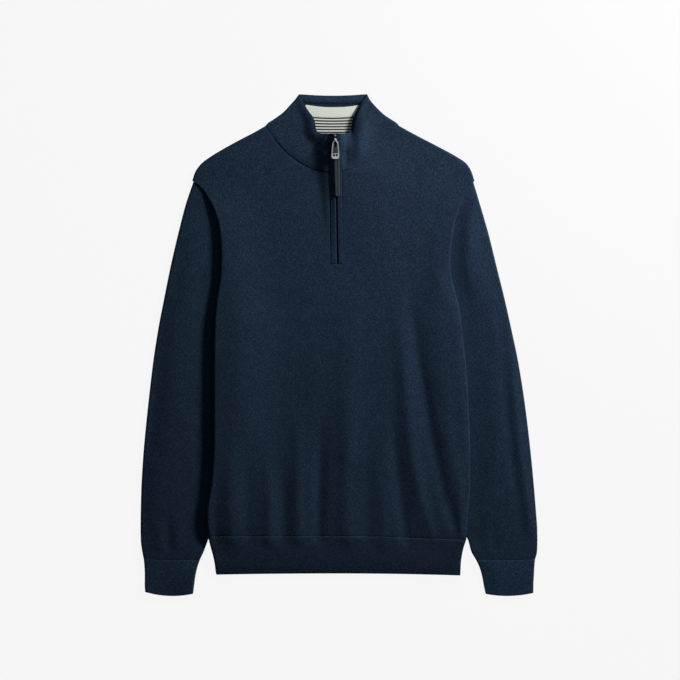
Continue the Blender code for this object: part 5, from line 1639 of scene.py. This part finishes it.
class SWEATER_OT_zip(bpy.types.Operator):
    """Welts, tape and closed teeth of the zip"""
    bl_idname = "sweater.zip"
    bl_label = "Zip"

    def execute(self, context):
        half = ZIP_GAP / 2
        y = np.linspace(ZIP_FOOT[1] + SEAM, ZIP_HEAD[1], 110)
        for name, node, left, right in (("welt_r", "welt_right", -half - WELT_LEFT, WELT_REACH - half),
                                        ("welt_l", "welt_left", half - WELT_REACH, half + WELT_RIGHT)):
            sew(name, strip_grid(left, right, y, WELT_PROUD), COLLAR + WELT_PROUD - 0.6, "knit",
                "navy_knit", node, ["front"])
        y = np.linspace(ZIP_FOOT[1] - 6.0, ZIP_HEAD[1] - 1.0, 90)
        grid = strip_grid(*TAPE_SIDES, y, -COLLAR - 0.6, drop=0.0, level=TAPE_LEVEL, fall=1.15)
        sew("woven_tape", grid, TAPE, "tape", "zip_tape", "zip_tape", ["front"])
        pitch = settings().zip.pitch / MM
        rows = []
        for out, shift in ((-1.0, 0.0), (1.0, 0.5)):
            y = np.linspace(ZIP_FOOT[1] + 1.0, TEETH_TOP, 120) + shift * pitch
            path = np.column_stack([zip_x(y), y, zip_surface(y) - TEETH_DEPTH])
            rows.append(run_of("teeth_side", [path], tooth_shape(-out), pitch, finish_of("teeth")))
        finish_piece(join("closed_teeth", rows), "garment", "zip_teeth", "zip_teeth")
        return {"FINISHED"}


class SWEATER_OT_slider(bpy.types.Operator):
    """Slider: a plate over the welts with a bridge for the puller"""
    bl_idname = "sweater.slider"
    bl_label = "Slider"

    def execute(self, context):
        dark, bright = finish_of("black metal"), finish_of("metal")
        spot, slope = hinge_place()
        width, length, thick = PLATE
        top, bottom = length - 4.0, -4.0        # outlines are drawn round the hinge, y up the zip
        side, shoulder = width / 2 - 0.8, bottom + 4.5
        shape = [(-side, top), (side, top), (side, shoulder), (2.2, bottom), (-2.2, bottom),
                 (-side, shoulder)]
        body = plate("slider_plate", [rounded_outline(shape, (2.2, 2.2, 1.6, 1.0, 1.0, 1.6))], thick, 0.45,
                     dark, height=-AXIS_LIFT - thick / 2)
        crown = [(-1.0, 5.9), (1.0, 5.9), (1.0, 7.9), (-1.0, 7.9)]
        stud = plate("slider_stud", [rounded_outline(crown, 0.8)], 0.6, 0.2, bright, height=-AXIS_LIFT + 0.2)
        half = [(BRIDGE_REACH - 0.5, -AXIS_LIFT - 0.4), (BRIDGE_REACH - 0.45, 0.6), (1.6, BRIDGE_TOP - 0.1)]
        arc = fine([*((-y, z) for y, z in half), (0.0, BRIDGE_TOP), *half[::-1]], 28)
        grid = grid_of(np.array([-1.0, 0.0, 1.0]) * BRIDGE_WIDTH / 2, arc[:, :1], arc[:, 1:])
        bridge = shell("slider_bridge", grid, 1.0, bright)
        block = [(-1.5, top - 2), (1.5, top - 2), (1.5, bottom + 2), (-1.5, bottom + 2)]
        core = plate("slider_core", [rounded_outline(block, 0.6)], 2.6, 0.2, dark,
                     height=-AXIS_LIFT - thick - 1.3)
        piece = settle(join("zip_slider", [body, stud, bridge, core]), spot, slope)
        finish_piece(piece, "garment", "gunmetal", "slider")
        return {"FINISHED"}


class SWEATER_OT_puller(bpy.types.Operator):
    """Puller: a tapered frame on a narrow neck, with an eye round the bridge and two holes for the strap"""
    bl_idname = "sweater.puller"
    bl_label = "Puller"

    def execute(self, context):
        spot, _ = hinge_place()
        # Outlines round the hinge: the frame, its window and holes, then the web with its eye
        outer = mirrored((2.2, 0.8, 0.8), (2.2, -1.8, 0.5), (4.2, -2.7, 1.0), (5.8, -20.0, 2.5),
                         (6.1, -29.0, 4.4))
        window = mirrored((1.5, -0.7, 0.4), (1.5, -3.7, 0.1), (3.0, -3.9, 0.3), (4.7, -20.0, 0.4),
                          (4.7, -20.7, 0.4))
        hole = [(0.5, -21.5), (3.9, -21.5), (3.9, -25.2), (0.5, -25.2)]
        holes = [rounded_outline([(side * x, y) for x, y in hole], 1.1) for side in (-1.0, 1.0)]
        rim = plate("puller_frame", [outer, window, *holes], PULLER_THICK, 0.3, finish_of("metal"))
        shape = [(-3.2, -3.5), (3.2, -3.5), (4.9, -20.0), (4.9, -21.0), (-4.9, -21.0), (-4.9, -20.0)]
        inset = rounded_outline(shape, (0.3, 0.3, 0.4, 0.4, 0.4, 0.4))
        shape = [(-1.95, -3.7), (1.95, -3.7), (1.95, -10.9), (-1.95, -10.9)]
        eye = rounded_outline(shape, (0.3, 0.3, 1.3, 1.3))
        # the web is the frame's silver painted darker, as painted shade in its recess
        web = plate("puller_web", [inset, eye], PULLER_THICK - 0.5, 0.15, finish_of("metal painted in shade"))
        piece = settle(join("puller_plate", [rim, web]), spot, PULLER_TILT)
        finish_piece(piece, "pull_tab", "gunmetal", "puller")
        return {"FINISHED"}


class SWEATER_OT_strap(bpy.types.Operator):
    """Strap on the puller, which lies along the zip"""
    bl_idname = "sweater.strap"
    bl_label = "Strap"

    def execute(self, context):
        (x, hinge, z), _ = hinge_place()
        turn = np.array([[math.cos(PULLER_TILT), -math.sin(PULLER_TILT)],
                         [math.sin(PULLER_TILT), math.cos(PULLER_TILT)]])
        # The path in y and z: a head behind the puller's lower end, a tail down along the zip
        low = -PULLER_THICK / 2 - 0.15 - STRAP_THICK / 2
        local = np.array([(y, low) for y in (-25.4, -26.0, -26.8, -27.8, -29.0)])
        head = local @ turn.T + np.array((hinge, z))
        y = np.concatenate([np.linspace(281.0, 262.0, 6), np.linspace(256.0, STRAP_END, 4)])
        tail = np.column_stack([y, zip_surface(y) + WELT_PROUD + 0.4 + STRAP_THICK / 2])
        path = along(fine(np.concatenate([head, tail]), 200), np.linspace(0.0, 1.0, 120))
        y = path[:, 0]
        below = hinge - y       # how far down from the hinge
        lean = lerp(x + 2.2, zip_x(y) + STRAP_LEAN, ease((below - 28.0) / 55.0))
        end = ease((STRAP_END + 3.0 - y) / 3.0)
        wide = ease((below - 27.0) / 4.0) * (1.0 - ease((below - 31.0) / 60.0))
        half = STRAP_WIDTH / 2 + 0.1 + 0.4 * wide - 0.7 * end
        across = np.array([-1.0, -0.94, -0.8, -0.5, -0.16, 0.0, 0.16, 0.5, 0.8, 0.94, 1.0])
        crown = np.array([-0.35, -0.12, 0.0, 0.0, -0.04, -0.28, -0.04, 0.0, 0.0, -0.12, -0.35])
        grid = grid_of(lean[:, None] + half[:, None] * across, y[:, None], path[:, 1:] + crown)
        grid[-1, :, 2] -= 0.3
        piece = shell("strap", grid, STRAP_THICK - 0.3, finish_of("strap"), turned=True, offset=0.0)
        finish_piece(piece, "pull_tab", "strap_leather", "pull_strap")
        return {"FINISHED"}


class SWEATER_OT_stitches(bpy.types.Operator):
    """Linking stitches on the seams of the hem and cuffs"""
    bl_idname = "sweater.stitches"
    bl_label = "Stitches"

    def execute(self, context):
        x = np.linspace(-196.0, 190.0, 260)     # from side to side of the hem's seam
        y = seam_y(x) + 0.1
        lines = [np.column_stack([x, y, body_top(x, y) + 0.05])]
        for source in (CUFF_RIGHT, CUFF_LEFT):
            low, high = sorted((source["outer_x"][0], source["inner_x"][0]))
            x = np.linspace(low + 3.0, high - 3.0, 70)
            lines.append(with_z(np.column_stack([x, np.full(len(x), CUFF_SEAM)]), CUFF_TOP - 0.25))
        piece = run_of("linking", lines, stitch_shape(1.3, 0.55), 1.7, finish_of("thread"), uneven=0.12,
                       seed=settings().zip.seed)
        finish_piece(piece, "garment", "navy_knit")
        return {"FINISHED"}


class SWEATER_OT_studio(bpy.types.Operator):
    """Pale floor, soft light and a camera looking straight down"""
    bl_idname = "sweater.studio"
    bl_label = "Studio"

    def execute(self, context):
        look = settings().studio
        mesh = bpy.data.meshes.new("floor")
        far = FLOOR_HALF
        corners = [(x, y, -FLOOR_DROP) for x, y in ((-far, -far), (far, -far), (far, far), (-far, far))]
        mesh.from_pydata(corners, [], [(0, 1, 2, 3)])
        mesh.materials.append(floor_material("studio floor", look.floor, look.glow))
        link("floor", mesh)
        self.light("key", *KEY_LIGHT, look.key)
        self.light("top", *TOP_LIGHT, look.top)
        world = bpy.data.worlds.new("studio")
        world.use_nodes = True
        wire(world.node_tree, world.node_tree.nodes["Background"], Color=SKY, Strength=look.fill)
        context.scene.world = world
        camera = bpy.data.cameras.new("camera")
        camera.lens = look.lens
        camera.sensor_width = 36.0
        camera.clip_end = 50.0
        seen = link("camera", camera)
        seen.location = (*VIEW_CENTRE, look.view_width * look.lens / camera.sensor_width)
        context.scene.camera = seen
        context.scene.view_settings.view_transform = "Standard"
        return {"FINISHED"}

    def light(self, name, place, size, power):
        """A soft box that faces the sweater's chest."""
        data = bpy.data.lights.new(name, "AREA")
        data.shape = "DISK"
        data.size = size
        data.energy = power
        made = link(name, data)
        made.location = place
        made.rotation_euler = (Vector(CHEST) - Vector(place)).to_track_quat("-Z", "Y").to_euler()


class SWEATER_PT_panel(bpy.types.Panel):
    """Sidebar panel with the sweater's settings and steps"""
    bl_label = "Sweater"
    bl_idname = "SWEATER_PT_panel"
    bl_space_type = "VIEW_3D"
    bl_region_type = "UI"
    bl_category = "Sweater"

    def draw(self, context):
        for group in (settings().knit, settings().trim, settings().zip, settings().studio):
            box = self.layout.box()
            for name in group.__annotations__:
                box.prop(group, name)
        for step in STEPS:
            self.layout.operator(step.bl_idname)


STEPS = (SWEATER_OT_studio, SWEATER_OT_front, SWEATER_OT_back, SWEATER_OT_hem, SWEATER_OT_sleeves,
         SWEATER_OT_cuffs, SWEATER_OT_collar, SWEATER_OT_bands, SWEATER_OT_zip, SWEATER_OT_slider,
         SWEATER_OT_puller, SWEATER_OT_strap, SWEATER_OT_stitches)
CLASSES = (KnitLook, TrimLook, ZipLook, StudioLook, SweaterSettings, *STEPS, SWEATER_PT_panel)


def register():
    """Add the classes and the scene's settings."""
    for item in CLASSES:
        bpy.utils.register_class(item)
    bpy.types.Scene.sweater = PointerProperty(type=SweaterSettings)


def unregister():
    """Take them away again."""
    del bpy.types.Scene.sweater
    for item in reversed(CLASSES):
        bpy.utils.unregister_class(item)


def main():
    """Build every piece."""
    register()
    for step in STEPS:
        group, name = step.bl_idname.split(".")
        getattr(getattr(bpy.ops, group), name)()


if __name__ == "__main__":
    main()
